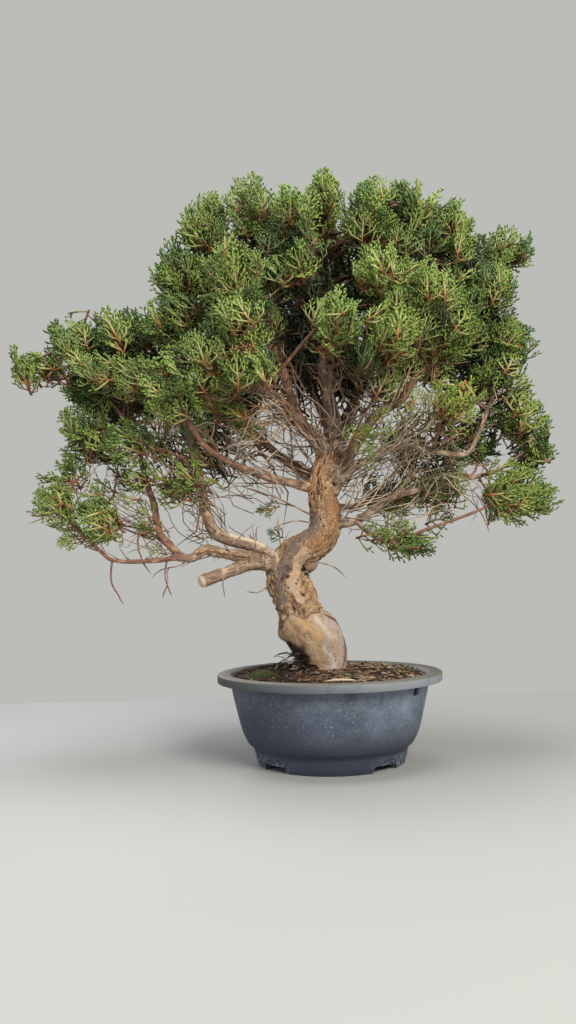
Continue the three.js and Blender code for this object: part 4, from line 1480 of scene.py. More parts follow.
# Sheaves of thin bare twigs: where they start and end, how far they spread there, how many there
# are, their radius, redness and how much of the bark is bleached
SHEAVES = (
    ((20, -8, 232), 10, (100, -24, 296), 38, 13, 0.8, 0.0, 1.0),
    ((24, -6, 226), 9, (110, -14, 250), 28, 8, 0.7, 0.05, 0.85),
    ((70, -14, 262), 28, (116, -30, 300), 34, 11, 0.6, 0.05, 0.95),
    ((50, -12, 282), 20, (92, -44, 334), 28, 9, 0.75, 0.1, 0.8),
    ((104, -14, 270), 22, (52, -24, 290), 30, 8, 0.6, 0.05, 0.95),
    ((88, -16, 300), 24, (84, -20, 244), 24, 6, 0.55, 0.2, 0.7),
    ((120, -14, 256), 12, (156, -18, 262), 18, 6, 0.65, 0.3, 0.5),
    ((12, 0, 250), 9, (84, 30, 312), 30, 8, 0.9, 0.3, 0.15),
    ((-56, -20, 262), 18, (-112, -50, 310), 30, 14, 0.7, 0.3, 0.6),
    ((-92, -46, 276), 16, (-56, -50, 318), 26, 10, 0.7, 0.3, 0.65),
    ((-100, -35, 215), 18, (-146, -48, 276), 28, 14, 0.7, 0.5, 0.3),
    ((-150, -50, 212), 14, (-206, -50, 256), 22, 12, 0.6, 0.8, 0.05),
    ((-2, -8, 292), 10, (-40, -44, 346), 30, 14, 1.0, 0.4, 0.5),
    ((-46, -30, 340), 20, (-6, -30, 300), 22, 12, 0.7, 0.6, 0.3),
    ((10, -8, 292), 10, (62, -48, 338), 30, 13, 0.9, 0.3, 0.6),
    ((40, -30, 330), 20, (14, -30, 376), 24, 12, 0.7, 0.5, 0.3),
    ((8, -10, 300), 12, (0, -34, 366), 34, 4, 1.0, 0.3, 0.7),
    ((-8, 0, 262), 8, (-84, 20, 314), 30, 12, 0.8, 0.3, 0.1),
    ((-60, -12, 240), 14, (-96, -34, 272), 20, 8, 0.6, 0.4, 0.1),
)


def add_sheaves(whole, rng):
    """Thin bare twigs that fan out and cross, most of them forked."""
    for start, gather, end, spread, count, radius, redness, bleached in SHEAVES:
        for _ in range(count):
            root = at_pot(start) + wobble(rng, gather)
            tip = at_pot(end) + wobble(rng, spread)
            tone = (max(0.0, redness - 0.2), min(1.0, redness + 0.3))
            rows = twig_rows(root, tip, radius * rng.uniform(0.6, 1.2), rng, tone, 0.13, 11)
            pale = bleached * rng.uniform(0.3, 1.2)
            add_stem(whole, rows, 3, pale)
            for _ in range(rng.choice((1, 2, 3))):
                fork = rows[rng.randrange(len(rows) // 3, len(rows))]
                out = (tip - root).normalized() * 0.6 + wobble(rng, 1.1)
                side = Vector(fork[:3]) + out * rng.uniform(10, 28)
                twig = twig_rows(Vector(fork[:3]), side, 0.48, rng, tone, 0.13, 11)
                add_stem(whole, twig, 3, pale)


def add_twiglets(whole, carrier, count, rng):
    """Short bare side twigs, some of them forked."""
    for _ in range(count):
        index = rng.randrange(len(carrier.places))
        start = Vector(carrier.places[index])
        if carrier.names[index] in BARE_LIMBS:
            continue
        outward = (start - at_pot((0, 20, start.z - POT_AXIS.z - 60))).normalized()
        ahead = (wobble(rng, 1) + outward * 0.5 + UP * 0.15).normalized()
        length = rng.uniform(*TWIGLET_LENGTHS) + carrier.radii[index]
        end = start + ahead * length
        rows = twig_rows(start, end, rng.uniform(0.55, 0.95), rng, (0.2, 0.75), 0.14, 7)
        add_stem(whole, rows, 3)
        if rng.random() < FORKED_TWIGLETS:
            fork = Vector(rows[len(rows) // 2][:3])
            side = fork + (ahead + wobble(rng, 0.8)).normalized() * length * 0.45
            add_stem(whole, twig_rows(fork, side, 0.55, rng, (0.4, 0.85), 0.1, 6), 3)


def add_bare_twigs(whole, rng):
    """The dead twigs that hang free or cross the open spaces."""
    for radius, redness, points in BARE_TWIGS:
        path = pot_curve(points, 5)
        last = len(path) - 1
        rows = [
            (*(place + wobble(rng, 0.3)), radius * (1 - 0.45 * index / last), redness)
            for index, place in enumerate(path)
        ]
        add_stem(whole, rows, 5)


# Stems that shed strings of dead bark: their path, its radius at both ends, the part of it that
# does so, from which side seen from above in degrees, and how many strings
FRAYED = (
    (TRUNK, (16.6, 14.6), (0.78, 0.97), (-150, -88), 24),
    (LIMBS["up_left"][3], (10, 5.5), (0.05, 0.5), (-170, -60), 15),
    (LIMBS["gnarled"][3], (7.5, 5.5), (0.1, 0.9), (-150, -40), 10),
)
# Dead orange twigs: where they start and end, how far they spread there, and how many
DEAD_TWIGS = (
    ((-34, -24, 334), 12, (-90, -52, 320), 22, 16), ((-24, -16, 318), 8, (-58, -44, 300), 16, 8),
)
SURFACE_ROOTS = 62


def add_bark_strings(whole, rng):
    """Loose strings of dead bark along the trunk and the old limbs, torn off at their lower end."""
    for path, widths, (first, last), sides, count in FRAYED:
        rows = pot_curve(path, 5)
        radii = np.linspace(*widths, len(rows))
        for _ in range(count):
            turn = math.radians(rng.uniform(*sides))
            start = rng.randint(int(first * len(rows)), max(1, int(last * len(rows)) - 5))
            string = []
            for place, radius in list(zip(rows, radii))[start:start + rng.randint(4, 8)]:
                turn += rng.uniform(-0.14, 0.14)
                out = radius + rng.uniform(-0.8, 1.2)
                offset = Vector((math.cos(turn) * out, math.sin(turn) * out, 0))
                string.append((*(place + offset), rng.uniform(0.45, 1.0), 0.5))
            if len(string) > 2:
                torn = Vector(string[0][:3]) + offset * 0.25 + wobble(rng, 2)
                torn -= UP * rng.uniform(2, 8)
                add_stem(whole, [(*torn, 0.3, 0.5), *string], 4)


def add_dead_twigs(whole, rng):
    """Dead twigs that have kept their torn orange bark."""
    for start, gather, end, spread, count in DEAD_TWIGS:
        for _ in range(count):
            root = at_pot(start) + wobble(rng, gather)
            tip = at_pot(end) + wobble(rng, spread)
            rows = twig_rows(root, tip, rng.uniform(0.5, 0.9), rng, (0.5, 0.5), 0.16, 7)
            add_stem(whole, rows, 3)


def add_root_tangle(whole, rng):
    """Fine dark roots that stand out of the soil where the trunk bends away."""
    for _ in range(SURFACE_ROOTS):
        start = at_pot((rng.uniform(-34, -16), rng.uniform(-22, -4), rng.uniform(86, 103)))
        reach = rng.random() ** 1.7
        end = at_pot((-26 - 36 * reach, rng.uniform(-34, -2), rng.uniform(84, 104 - 6 * reach)))
        rows = twig_rows(start, end, rng.uniform(0.35, 0.85), rng, (0.0, 0.3), 0.18, 7)
        add_stem(whole, rows, 3)


class BONSAI_OT_twigs(Operator):
    """Grows the bare twigs, loose bark strings and surface roots"""

    bl_idname = "bonsai.twigs"
    bl_label = "Bare twigs"

    def execute(self, context):
        settings = context.scene.bonsai_tree
        rng = random.Random(SEEDS["twigs"])
        carrier = Carrier()
        twigs = new_bmesh()
        add_sheaves(twigs, rng)
        add_twiglets(twigs, carrier, settings.twiglets, rng)
        add_bare_twigs(twigs, rng)
        add_stem(twigs, [(*at_pot(row), row[3], STUB_REDNESS) for row in STUB], 10)
        finish_piece(twigs, "bare_twigs", limb_bark(settings), "juniper_bark")
        strings = new_bmesh()
        add_bark_strings(strings, rng)
        add_dead_twigs(strings, rng)
        finish_piece(strings, "frayed_bark_strings", frayed_bark(), "juniper_bark")
        roots = new_bmesh()
        add_root_tangle(roots, rng)
        finish_piece(roots, "surface_roots", dark_roots(), "juniper_bark")
        return {"FINISHED"}


# Foliage

SPRAY_LENGTH = 32
SPRAY_KINDS = 12
# Shortest and longest sprays over the masses, beside them, in their seams and deep in the crown
SURFACE_LENGTHS = (25, 36)
LOOSE_LENGTHS = (20, 32)
SEAM_LENGTHS = (24, 34)
CORE_LENGTHS = (26, 38)
# How far a stem reaches into its spray
STEM_OVERLAP = 1.5
# Share of the usual number of sprays, for the masses that can be seen through
SPARSE = {
    "left_hang": 0.6, "left_hang_tip": 0.5, "left_lower": 0.7, "left_mid_fan": 0.55,
    "left_inner": 0.45, "drop_fan": 0.45, "right_under": 0.5, "right_deep": 0.6,
    "crown_sprig": 0.8, "right_yellow": 0.65, "right_inner": 0.5, "front_fan_lower": 0.85,
    "left_tip": 0.7, "right_tier_low": 0.85, "right_tier_mid": 0.85, "right_low_mass": 0.85,
}
# How fresh each mass looks, with painted light and shade too: from 0 shaded to 1 yellow
FRESHNESS_AND_LIGHT = {
    "left_tip": 0.55, "left_shoulder": 0.56, "left_knob": 0.54, "left_core": 0.56,
    "left_lower": 0.6, "left_hang": 0.62, "left_hang_tip": 0.72, "left_mid_fan": 0.66,
    "left_inner": 0.64, "right_yellow": 0.84, "right_tier_low": 0.54, "right_knob": 0.48,
    "right_low_mass": 0.66, "right_under": 0.54, "right_deep": 0.42, "right_inner": 0.5,
    "drop_fan": 0.58, "crown_front_mid": 0.62, "crown_right_low": 0.72, "front_fan_upper": 0.64,
    "front_fan_lower": 0.68, "crown_front_left": 0.58, "crown_front_right": 0.7,
    "crown_right_mid": 0.7, "right_body": 0.68, "left_front_fan": 0.6,
}
FRESHNESS_AND_LIGHT_ELSEWHERE = 0.55
# Share of the sprays that have died and turned rusty, in the masses that have any
RUSTY = {
    "front_fan_lower": 0.06, "left_inner": 0.08, "left_mid_fan": 0.06, "left_lower": 0.06,
    "left_hang": 0.04,
}

# Loose sprays between the masses, by the mass that they grow from: place, reach and number
LOOSE = {
    "left_core": (
        ((-190, -50, 350), 14, 6), ((-205, -45, 359), 14, 5), ((-176, -55, 360), 14, 6),
        ((-220, -40, 368), 11, 3), ((-168, -50, 348), 12, 4),
    ),
    "left_hang": (
        ((-240, -50, 239), 12, 4), ((-219, -50, 243), 13, 4), ((-238, -40, 266), 11, 4),
        ((-230, -52, 207), 6, 2),
    ),
    "left_hang_tip": (((-203, -56, 223), 12, 3), ((-160, -50, 224), 10, 2)),
    "left_lower": (((-232, -30, 291), 12, 4), ((-208, -30, 292), 16, 6)),
    "left_mid_fan": (
        ((-195, -45, 264), 15, 4), ((-173, -45, 243), 12, 2), ((-158, -45, 270), 16, 4),
        ((-141, -50, 296), 17, 5),
    ),
    "left_inner": (
        ((-141, -50, 246), 13, 2), ((-124, -45, 269), 17, 4), ((-106, -40, 247), 12, 2),
        ((-114, -50, 296), 17, 4), ((-154, -58, 197), 4, 1),
    ),
    "left_front_fan": (((-97, -80, 348), 15, 6),),
    "front_fan_lower": (((-90, -60, 330), 17, 7), ((-73, -40, 315), 16, 3)),
    "front_fan_upper": (((-84, -70, 373), 15, 6),),
    "crown_sprig": (((-60, -40, 425), 18, 8), ((-68, -30, 403), 18, 8), ((-14, -50, 480), 14, 5)),
    "crown_right_low": (
        ((52, -50, 369), 20, 8), ((68, -50, 336), 15, 4), ((29, -40, 300), 5, 2),
        ((33, -42, 288), 9, 2), ((54, -40, 306), 9, 2),
    ),
    "right_yellow": (((106, -40, 334), 18, 5), ((120, -50, 312), 12, 2)),
    "right_body": (((94, -40, 377), 22, 10),),
    "right_inner": (((141, 0, 296), 18, 3), ((92, -10, 310), 20, 3)),
    "right_under": (((123, -10, 252), 14, 3), ((101, 0, 240), 16, 3), ((72, 0, 236), 11, 2)),
    "drop_fan": (((48, -25, 204), 10, 2), ((73, -22, 203), 12, 3)),
    "back_low_left": (((-58, 6, 236), 5, 2), ((-50, 0, 212), 4, 1)),
}

# Places in front of the crown that stay open, as low and high corners
HOLLOWS = (((-14, -120, 424), (34, -14, 472)),)
# How far a tip may stand out of the masses, and out of those that should end lower
OVERHANG = 7
SHORT_OVERHANG = {"crown_peak": -6, "right_deep": 1, "crown_right_shoulder": 3}

# Where seams between masses are closed, how far from both masses, and with how many sprays
SEAM_SPACE = ((-235, -100, 325), (205, 125, 500))
SEAM_REACH = 11
# Painted shade that darkens the sprays in the seams
SEAM_SHADE = 0.27
SEAM_SPRAYS = 260
# Random places tried for each spray of a seam, and for each one over the surface of a mass
SEAM_TRIES = 40
CANDIDATES = 8
# Share of the sprays kept on faces that another mass covers, and how near it has to be
COVERED_KEPT = 0.4
COVER_GAP = 7

# Tips of the pointed shoots that lead out of the outline
LEADING_TIPS = (
    (-66, -10, 566), (-103, -20, 541), (-127, -20, 524), (-32, -10, 556), (10, -10, 568),
    (49, -15, 556), (78, -10, 556), (-149, -30, 480), (111, -10, 534), (144, -10, 515),
    (-249, -45, 410), (-203, -40, 424), (-285, -50, 383),
)
# The sprays of such a shoot: how far they stay behind its tip, how far aside, and their length
LEADING_SPRAYS = ((0, 0, 38), (9, 6, 32), (15, 8, 32))

# Sprays deep in the crown, painted near black as shade: middle, half sizes and number
CORES = (
    ((0, 24, 452), (112, 54, 58), 200), ((0, 50, 376), (108, 40, 36), 100),
    ((-185, 18, 374), (62, 38, 30), 66), ((144, 22, 402), (42, 38, 66), 66),
    ((-116, 34, 306), (50, 26, 32), 30), ((104, 48, 304), (50, 28, 36), 36),
)
# Where the crown spreads from
HEART = (5, 5, 290)
# How many twigs lead into a mass, for how many sprays each, and how thick they are
MASS_TWIGS = (2, 7)
SPRAYS_PER_TWIG = 9
MASS_TWIG_RADII = (1.0, 2.1)

# Kinds of spray: widest and narrowest lean of the cords in degrees, their longest and shortest
# length, how thick they are against the usual cord, and whether they fork
SPRAY_SHAPES = {
    "fan": (68, 24, 24, 13, 1.06, True),
    "plume": (50, 18, 18, 12, 1.26, True),
    "inner": (62, 24, 26, 14, 1.1, False),
}


def spray_template(rng, cord, shape):
    """One flat spray, grown up from the origin: a woody stalk and the cords that fork from it."""
    wide, narrow, longest, shortest, stout, forked = SPRAY_SHAPES[shape]
    bm = new_bmesh()
    thick = stout * cord / 2
    sway = [rng.uniform(-1.6, 1.6) for _ in range(3)]
    spine = ((0, 0, 0), (sway[0], 0, 10), (sway[1], 0.5, 23), (sway[2], 0, SPRAY_LENGTH))
    widths = (thick * 1.25, thick * 1.1, thick, 0.1)
    ages = (0.0, 0.15, 0.7, 1.0)
    grow_stem(bm, [(*place, width, age) for place, width, age in zip(spine, widths, ages)], 3)
    cords = rng.choice((6, 7, 7))
    for index in range(cords):
        share = index / (cords - 1)
        side = 1 if index % 2 else -1
        height = 2 + 19 * share
        lean = math.radians(wide + (narrow - wide) * share + rng.uniform(-8, 8)) * side
        tilt = math.radians(rng.uniform(-32, 32))
        length = (longest + (shortest - longest) * share) * rng.uniform(0.8, 1.12)
        start = Vector((sway[0] * min(1, height / 10), 0, height))
        grow_cord(bm, start, lean, tilt, length, thick, 0.12 + 0.3 * share, forked, rng)
    bmesh.ops.recalc_face_normals(bm, faces=bm.faces)
    value = bm.verts.layers.float["value"]
    write_map(bm, BAKE_MAP, lambda vert, share: (vert[value] * 0.98 + 0.01, share * ROUND_WIDTH))
    return mesh_of(bm, "spray")


def grow_cord(bm, start, lean, tilt, length, thick, age, forked, rng):
    """A slender cord that curves back up, forks once and ends in two or three short tips."""
    turn = Matrix.Rotation(tilt, 3, "Z")
    out = turn @ Vector((math.sin(lean), 0, math.cos(lean)))
    later = turn @ Vector((math.sin(lean * 0.4), 0, math.cos(lean * 0.4)))
    bend = start + out * length * 0.58
    end = bend + later * length * 0.42
    grow_stem(
        bm, ((*start, thick * 0.8, age), (*bend, thick * 0.95, age + 0.35), (*end, 0.1, 1.0)), 3,
    )
    tips = [(bend, later, 7), (bend.lerp(end, 0.4), later, 6)]
    if forked:
        tips.append((bend.lerp(end, 0.72), later, 4.5))
        side = rng.choice((-0.6, 0.6))
        ahead = (out * 0.6 + later * 0.4 + turn @ Vector((side, 0, 0))).normalized()
        fork = start.lerp(bend, 0.6)
        fork_end = fork + ahead * length * 0.45
        middle = fork.lerp(fork_end, 0.6) + later * 0.6
        grow_stem(bm, (
            (*fork, thick * 0.7, age + 0.2), (*middle, thick * 0.95, 0.8), (*fork_end, 0.1, 1.0),
        ), 3)
        tips.append((middle, ahead, 5))
    first = rng.choice((-0.8, 0.8))
    for order, (place, ahead, size) in enumerate(tips):
        side = turn @ Vector((first if order % 2 else -first, rng.uniform(-0.4, 0.4), 0.1))
        grow_bud(bm, place, (ahead + side).normalized(), rng.uniform(0.85, 1.2) * size, thick, 0.86)


class Mass:
    """One foliage node: its surface, its middle and how it should look."""

    def __init__(self, node):
        self.name = node.name.removeprefix("foliage_")
        self.node = node.name
        mesh = node.data
        self.corners = [vert.co / MM for vert in mesh.vertices]
        self.faces = [tuple(face.vertices) for face in mesh.polygons]
        self.tree = BVHTree.FromPolygons(self.corners, self.faces)
        areas = np.array([face.area for face in mesh.polygons])
        centres = np.array([face.center / MM for face in mesh.polygons])
        self.centre = Vector((centres * areas[:, None]).sum(0) / areas.sum())
        self.areas = areas / MM ** 2

    def spots(self, count, rng):
        """Places spread evenly over the surface, with the direction that faces out at each."""
        places, normals = [], []
        picks = rng.choices(range(len(self.faces)), weights=self.areas, k=count * CANDIDATES)
        for pick in picks:
            a, b, c = (self.corners[index] for index in self.faces[pick])
            first, second = rng.random(), rng.random()
            if first + second > 1:
                first, second = 1 - first, 1 - second
            places.append(a + (b - a) * first + (c - a) * second)
            normals.append((b - a).cross(c - a).normalized())
        cloud = np.array(places)
        away = np.full(len(cloud), np.inf)
        chosen, latest = [], 0
        for _ in range(count):
            chosen.append(latest)
            away = np.minimum(away, np.linalg.norm(cloud - cloud[latest], axis=1))
            latest = int(away.argmax())
        return [(places[index], normals[index]) for index in chosen]


def canopy_surface(masses):
    """All masses as one surface, to tell which faces are inside the canopy."""
    corners, faces = [], []
    for mass in masses:
        first = len(corners)
        corners += mass.corners
        faces += [tuple(first + index for index in face) for face in mass.faces]
    return BVHTree.FromPolygons(corners, faces)


def outward_lift(place):
    """The way the shoots of the whole crown grow at a place: away from its heart, and up."""
    out = (place - at_pot(HEART)).normalized()
    return (out * 0.75 + UP * 0.6).normalized()


def within_hollow(place):
    """Whether a place lies in one of the crown's open hollows."""
    return any(
        all(low < value < high for low, value, high in zip(at_pot(lowest), place, at_pot(highest)))
        for lowest, highest in HOLLOWS
    )


def pulled_in(base, ahead, length, canopy, overhang):
    """The base moved back so that the tip stands out of the masses by no more than the overhang."""
    spot, normal, _, _ = canopy.find_nearest(base + ahead * length)
    excess = (base + ahead * length - spot).dot(normal) - overhang
    return base - ahead * max(0.0, excess)


@dataclass
class Spray:
    """One spray: its kind, its base, the way it grows and faces, its length and its tint, which
    holds painted light and shade.
    """

    shape: str
    base: Vector
    ahead: Vector
    face: Vector
    length: float
    freshness_and_light: float

    def placing(self):
        """The matrix that takes a template to the spray."""
        face = self.face - self.ahead * self.face.dot(self.ahead)
        if face.length < 0.05:
            face = self.ahead.orthogonal()
        face.normalize()
        side = face.cross(self.ahead)
        turn = Matrix((side, face, self.ahead)).transposed().to_4x4()
        size = Matrix.Scale(self.length / SPRAY_LENGTH, 4)
        return Matrix.Translation(self.base) @ turn @ size


def surface_sprays(mass, canopy, cell, rng):
    """Sprays that lie over the surface of a mass like shingles, with their tips up and outward."""
    count = max(6, round(mass.areas.sum() * SPARSE.get(mass.name, 1.0) / cell ** 2))
    overhang = SHORT_OVERHANG.get(mass.name, OVERHANG)
    sprays = []
    for spot, normal in mass.spots(count, rng):
        inside = canopy.ray_cast(spot + normal * 0.1, normal, COVER_GAP)[0] is not None
        if inside and rng.random() > COVERED_KEPT:
            continue
        lift = outward_lift(spot)
        along = lift - normal * lift.dot(normal)
        ahead = (along * 0.85 + normal * 0.5 + wobble(rng, 0.34)).normalized()
        upright = max(0.0, ahead.dot(normal))
        shape = "plume" if rng.random() < 0.85 * smoothstep(0.5, 0.85, upright) else "fan"
        length = rng.uniform(*SURFACE_LENGTHS)
        proud = rng.triangular(-11, 4, -1)
        base = spot + normal * (proud - 0.2 * length * upright) - ahead * 0.8 * length
        base = pulled_in(base, ahead, length, canopy, overhang)
        if within_hollow(base + ahead * 0.6 * length):
            continue
        # Painted shade for sprays that another mass covers and for those set deeper
        shade = 0.3 * inside + 0.25 * smoothstep(-2, -10, proud)
        freshness_and_light = spray_freshness_and_light(mass.name, shade, rng)
        sprays.append(Spray(shape, base, ahead, normal + wobble(rng, 0.7), length, freshness_and_light))
    return sprays


def loose_sprays(mass, rng):
    """Sprays that fill the gaps beside a mass."""
    sprays = []
    for middle, reach, count in LOOSE.get(mass.name, ()):
        for _ in range(count):
            spot = at_pot(middle) + wobble(rng, reach)
            ahead = (outward_lift(spot) + wobble(rng, 0.65)).normalized()
            face = Vector((0, -1, 0.2)) + wobble(rng, 0.8)
            length = rng.uniform(*LOOSE_LENGTHS) * min(1.0, 0.5 + reach / 20)
            base = spot - ahead * 0.6 * length
            freshness_and_light = spray_freshness_and_light(mass.name, 0.05, rng)
            sprays.append(Spray("fan", base, ahead, face, length, freshness_and_light))
    return sprays


def seam_sprays(masses, rng):
    """Sprays in the seams where masses meet, by the name of the mass that each belongs to."""
    sprays = {mass.name: [] for mass in masses}
    low, high = (at_pot(corner) for corner in SEAM_SPACE)
    missing = SEAM_SPRAYS
    for _ in range(SEAM_SPRAYS * SEAM_TRIES):
        spot = Vector([rng.uniform(first, last) for first, last in zip(low, high)])
        if missing == 0 or within_hollow(spot):
            continue
        near = [(mass, *mass.tree.find_nearest(spot, SEAM_REACH)) for mass in masses]
        near = [found for found in near if found[1] is not None]
        if len(near) < 2 or any((spot - place).dot(normal) < 0 for _, place, normal, _, _ in near):
            continue
        owner = min(near, key=lambda found: found[4])[0]
        ahead = (outward_lift(spot) + wobble(rng, 0.45)).normalized()
        length = rng.uniform(*SEAM_LENGTHS)
        base = spot - ahead * length
        freshness_and_light = spray_freshness_and_light(owner.name, SEAM_SHADE, rng)
        facing = Vector((0, -1, 0.4)) + wobble(rng, 0.8)
        sprays[owner.name].append(Spray("fan", base, ahead, facing, length, freshness_and_light))
        missing -= 1
    return sprays


def leading_sprays(masses, rng):
    """Pointed shoots that lead out of the outline, by the name of the mass that each belongs to."""
    sprays = {mass.name: [] for mass in masses}
    for tip in LEADING_TIPS:
        spot = at_pot(tip)
        owner = min(masses, key=lambda mass: mass.tree.find_nearest(spot)[3])
        lead = (outward_lift(spot) + UP * 0.5 + wobble(rng, 0.15)).normalized()
        for behind, aside, length in LEADING_SPRAYS:
            offset = wobble(rng, aside)
            ahead = (lead + offset * 0.03).normalized()
            base = spot + offset - lead * behind - ahead * length
            freshness_and_light = spray_freshness_and_light(owner.name, 0.05, rng)
            facing = Vector((0, -1, 0.2)) + wobble(rng, 0.6)
            sprays[owner.name].append(Spray("plume", base, ahead, facing, length, freshness_and_light))
    return sprays


def core_sprays(rng):
    """Sprays inside the crown, painted near black as shade."""
    sprays = []
    for middle, half, count in CORES:
        for _ in range(count):
            inside = wobble(rng, 1)
            while inside.length > 1:
                inside = wobble(rng, 1)
            spot = at_pot(middle) + Vector([share * size for share, size in zip(inside, half)])
            ahead = (outward_lift(spot) + wobble(rng, 0.8)).normalized()
            length = rng.uniform(*CORE_LENGTHS)
            # Painted shade: these values take the deep and shaded colours
            freshness_and_light = rng.uniform(DEAD_BAND + 0.04, 0.17)
            base = spot - ahead * 0.6 * length
            sprays.append(Spray("inner", base, ahead, wobble(rng, 1), length, freshness_and_light))
    return sprays


def stamp_spray(whole, template, spray):
    """Adds a copy of a template to a mass, turned, sized and tinted."""
    copy = template.copy()
    copy.transform(spray.placing())
    uv = copy.uv_layers[BAKE_MAP].data
    places = np.empty(len(uv) * 2, np.float32)
    uv.foreach_get("uv", places)
    places[1::2] += spray.freshness_and_light
    uv.foreach_set("uv", places)
    whole.from_mesh(copy)
    bpy.data.meshes.remove(copy)


def mass_twigs(mass, sprays, carrier, rng):
    """Twigs from the wood into a mass, then short stems to its sprays."""
    twigs = []
    fewest, most = MASS_TWIGS
    thinnest, thickest = MASS_TWIG_RADII
    for _ in range(max(fewest, min(most, len(sprays) // SPRAYS_PER_TWIG))):
        end = mass.centre.lerp(rng.choice(sprays).base, rng.uniform(0.4, 0.9))
        chosen = carrier.near(end, 26, rng)
        radius = min(thickest, max(thinnest, carrier.radii[chosen] * 0.6))
        start = Vector(carrier.places[chosen])
        twigs.append(twig_rows(start, end, radius, rng, (0.45, 1.0), 0.1, 9))
    joints = [row for rows in twigs for row in rows[1:]]
    cloud = np.array([row[:3] for row in joints])
    stems = []
    for spray in sprays:
        nearest = int(np.linalg.norm(cloud - np.array(spray.base), axis=1).argmin())
        joint = Vector(joints[nearest][:3])
        gap = (spray.base - joint).length
        if gap > STEM_OVERLAP:
            middle = joint.lerp(spray.base, 0.55) - spray.ahead * 0.2 * gap
            end = spray.base + spray.ahead * STEM_OVERLAP
            stems.append([(*joint, 0.95, 0.8), (*middle, 0.9, 0.95), (*end, 0.8, 1.0)])
    return twigs, stems


class BONSAI_OT_foliage(Operator):
    """Grows the twigs and sprays of every foliage mass"""

    bl_idname = "bonsai.foliage"
    bl_label = "Foliage"

    def execute(self, context):
        settings = context.scene.bonsai_foliage
        rng = random.Random(SEEDS["sprays"])
        templates = {
            shape: [spray_template(rng, settings.cord / MM, shape) for _ in range(SPRAY_KINDS)]
            for shape in SPRAY_SHAPES
        }
        carrier = Carrier()
        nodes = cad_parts.items()
        masses = [Mass(node) for name, node in nodes if name.startswith("foliage_")]
        canopy = canopy_surface(masses)
        leaves = scale_leaf_cords(settings)
        twigs = new_bmesh()
        between = seam_sprays(masses, rng)
        leading = leading_sprays(masses, rng)
        for mass in masses:
            sprays = surface_sprays(mass, canopy, settings.cell / MM, rng)
            sprays += loose_sprays(mass, rng) + between[mass.name] + leading[mass.name]
            grow_twigs(twigs, *mass_twigs(mass, sprays, carrier, rng))
            fans = stamped(sprays, templates, rng)
            finish_piece(fans, f"sprays_{mass.name}", leaves, "juniper_foliage", mass.node)
        deep = core_sprays(rng)
        finish_piece(stamped(deep, templates, rng), "inner_sprays", leaves, "juniper_foliage")
        grow_twigs(twigs, [], core_stems(deep, carrier, rng))
        bark = limb_bark(context.scene.bonsai_tree)
        finish_piece(twigs, "leafy_twigs", bark, "juniper_bark")
        return {"FINISHED"}


def stamped(sprays, templates, rng):
    """One bmesh of all the sprays."""
    whole = bmesh.new()
    for spray in sprays:
        stamp_spray(whole, rng.choice(templates[spray.shape]), spray)
    return whole


def grow_twigs(whole, twigs, stems):
    for rows in twigs:
        add_stem(whole, rows, 4)
    for rows in stems:
        add_stem(whole, rows, 3)


def core_stems(sprays, carrier, rng):
    """A stem from the nearest wood to each spray deep in the crown."""
    stems = []
    for spray in sprays:
        root = Vector(carrier.places[carrier.near(spray.base, 12, rng)])
        middle = root.lerp(spray.base, 0.5) + wobble(rng, 3)
        end = spray.base + spray.ahead * STEM_OVERLAP
        stems.append([(*root, 1.2, 0.5), (*middle, 1.0, 0.7), (*end, 0.8, 1.0)])
    return stems


def spray_freshness_and_light(name, shade, rng):
    """Where a spray's colours lie on the map: some are dead, inner ones get painted shade."""
    if rng.random() < RUSTY.get(name, 0):
        return rng.uniform(0, DEAD_BAND - 0.02)
    middle = FRESHNESS_AND_LIGHT.get(name, FRESHNESS_AND_LIGHT_ELSEWHERE) - shade
    return min(0.97, max(0.12, rng.gauss(middle, 0.12)))


# Stage

CAMERA_PLACE = (-35.65, -786, 165.4)
CAMERA_PITCH = 0.0860
CAMERA_ROLL = -0.0207
# Half width, half depth and how far the middle of the board is in front of the tree, in metres
BOARD = (1.5, 0.75, -0.34)
LAMPS = (
    ("window_light", (0.6, -1.15, 0.95), 0.7, 27.0, "#fffaf2"),
    ("overhead_light", (0.0, -0.1, 1.5), 0.9, 19.0, "#fbfbff"),
    ("side_fill", (-1.1, -0.6, 0.55), 1.0, 4.0, "#f2f5ff"),
    ("back_fill", (-0.6, 1.2, 0.75), 1.0, 8.0, "#f6f8ff"),
)
# Where the lamps point, in metres
LAMP_AIM = (0, 0, 0.25)
# Share of the backdrop's light that falls on the tree, which stands away from the pale walls
AMBIENT = 0.55


class BONSAI_OT_stage(Operator):
    """Lays the pale floor, hangs soft studio lights and sets the camera"""

    bl_idname = "bonsai.stage"
    bl_label = "Stage"

    def execute(self, context):
        settings = context.scene.bonsai_stage
        add_floor(settings)
        for lamp in LAMPS:
            add_lamp(*lamp)
        add_world(settings)
        add_camera(settings)
        context.scene.view_settings.view_transform = "Standard"
        return {"FINISHED"}


def add_floor(settings):
    bm = bmesh.new()
    half_width, half_depth, forward = BOARD
    place = Matrix.Translation((0, forward, 0)) @ Matrix.Diagonal((half_width, half_depth, 1, 1))
    bmesh.ops.create_grid(bm, x_segments=8, y_segments=8, size=1, matrix=place)
    mesh = mesh_of(bm, "floor")
    mesh.materials.append(matt_floor(settings))
    add_object("floor", mesh)


def add_lamp(name, place, size, power, colour):
    data = bpy.data.lights.new(name, "AREA")
    data.shape = "DISK"
    data.size = size
    data.energy = power
    data.color = linear(colour)[:3]
    lamp = add_object(name, data)
    lamp.location = place
    aim = Vector(LAMP_AIM) - Vector(place)
    lamp.rotation_euler = aim.to_track_quat("-Z", "Y").to_euler()


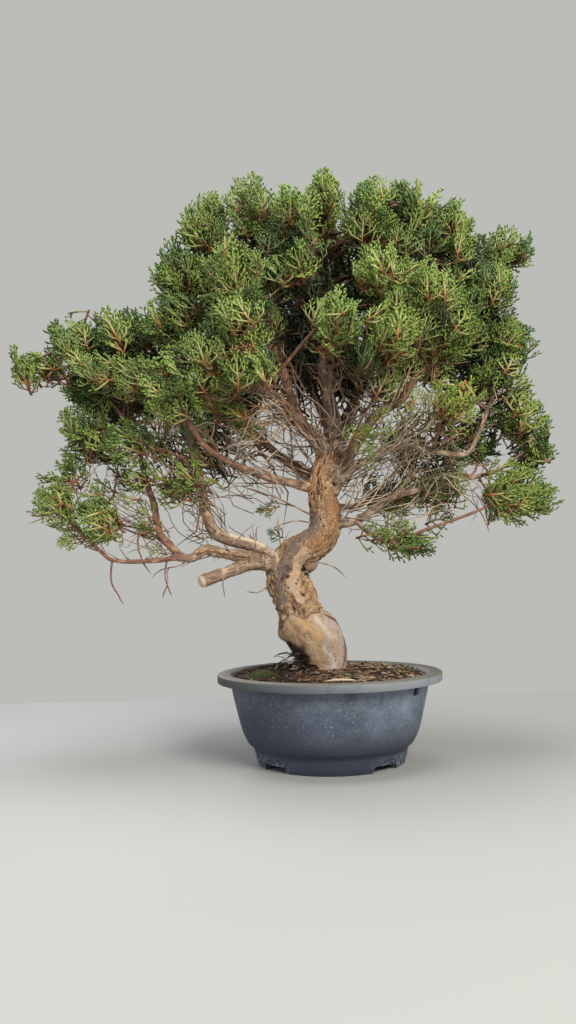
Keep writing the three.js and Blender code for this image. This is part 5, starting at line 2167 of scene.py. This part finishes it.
def add_world(settings):
    """A pale backdrop whose light on the tree is dimmer than it looks to the camera."""
    world = bpy.data.worlds.new("soft_room_light")
    world.use_nodes = True
    tree = world.node_tree
    seen = add_node(tree, "ShaderNodeLightPath").outputs["Is Camera Ray"]
    strengths = {"To Min": AMBIENT, "To Max": 1.0, "Value": seen}
    strength = add_node(tree, "ShaderNodeMapRange", strengths).outputs["Result"]
    background = tree.nodes["Background"]
    background.inputs["Color"].default_value = settings.backdrop
    tree.links.new(strength, background.inputs["Strength"])
    bpy.context.scene.world = world


def add_camera(settings):
    data = bpy.data.cameras.new("camera")
    data.lens = settings.lens
    data.sensor_width = 36
    data.clip_start = 0.01
    camera = add_object("camera", data)
    level = Matrix.Rotation(math.radians(90) + CAMERA_PITCH, 4, "X")
    turn = level @ Matrix.Rotation(CAMERA_ROLL, 4, "Z")
    camera.matrix_world = Matrix.Translation(at_pot(CAMERA_PLACE) * MM) @ turn
    bpy.context.scene.camera = camera


class BONSAI_PT_panel(Panel):
    """Lists the bonsai's settings and steps"""

    bl_idname = "BONSAI_PT_panel"
    bl_label = "Bonsai"
    bl_space_type = "VIEW_3D"
    bl_region_type = "UI"
    bl_category = "Bonsai"

    def draw(self, context):
        for name, group in SETTINGS.items():
            box = self.layout.box()
            box.label(text=name.removeprefix("bonsai_").title())
            for setting in group.__annotations__:
                box.prop(getattr(context.scene, name), setting)
        for step in STEPS:
            self.layout.operator(step.bl_idname)


SETTINGS = {
    "bonsai_pot": BonsaiPot, "bonsai_ground": BonsaiGround, "bonsai_tree": BonsaiTree,
    "bonsai_foliage": BonsaiFoliage, "bonsai_stage": BonsaiStage,
}
STEPS = (
    BONSAI_OT_pot, BONSAI_OT_drainage, BONSAI_OT_soil, BONSAI_OT_litter, BONSAI_OT_moss,
    BONSAI_OT_trunk, BONSAI_OT_limbs, BONSAI_OT_twigs, BONSAI_OT_foliage, BONSAI_OT_stage,
)


def register():
    for kind in (*SETTINGS.values(), *STEPS, BONSAI_PT_panel):
        bpy.utils.register_class(kind)
    for name, group in SETTINGS.items():
        setattr(bpy.types.Scene, name, PointerProperty(type=group))


def unregister():
    for name in SETTINGS:
        delattr(bpy.types.Scene, name)
    for kind in reversed((*SETTINGS.values(), *STEPS, BONSAI_PT_panel)):
        bpy.utils.unregister_class(kind)


def main():
    register()
    for step in STEPS:
        family, name = step.bl_idname.split(".")
        getattr(getattr(bpy.ops, family), name)()


if __name__ == "__main__":
    main()
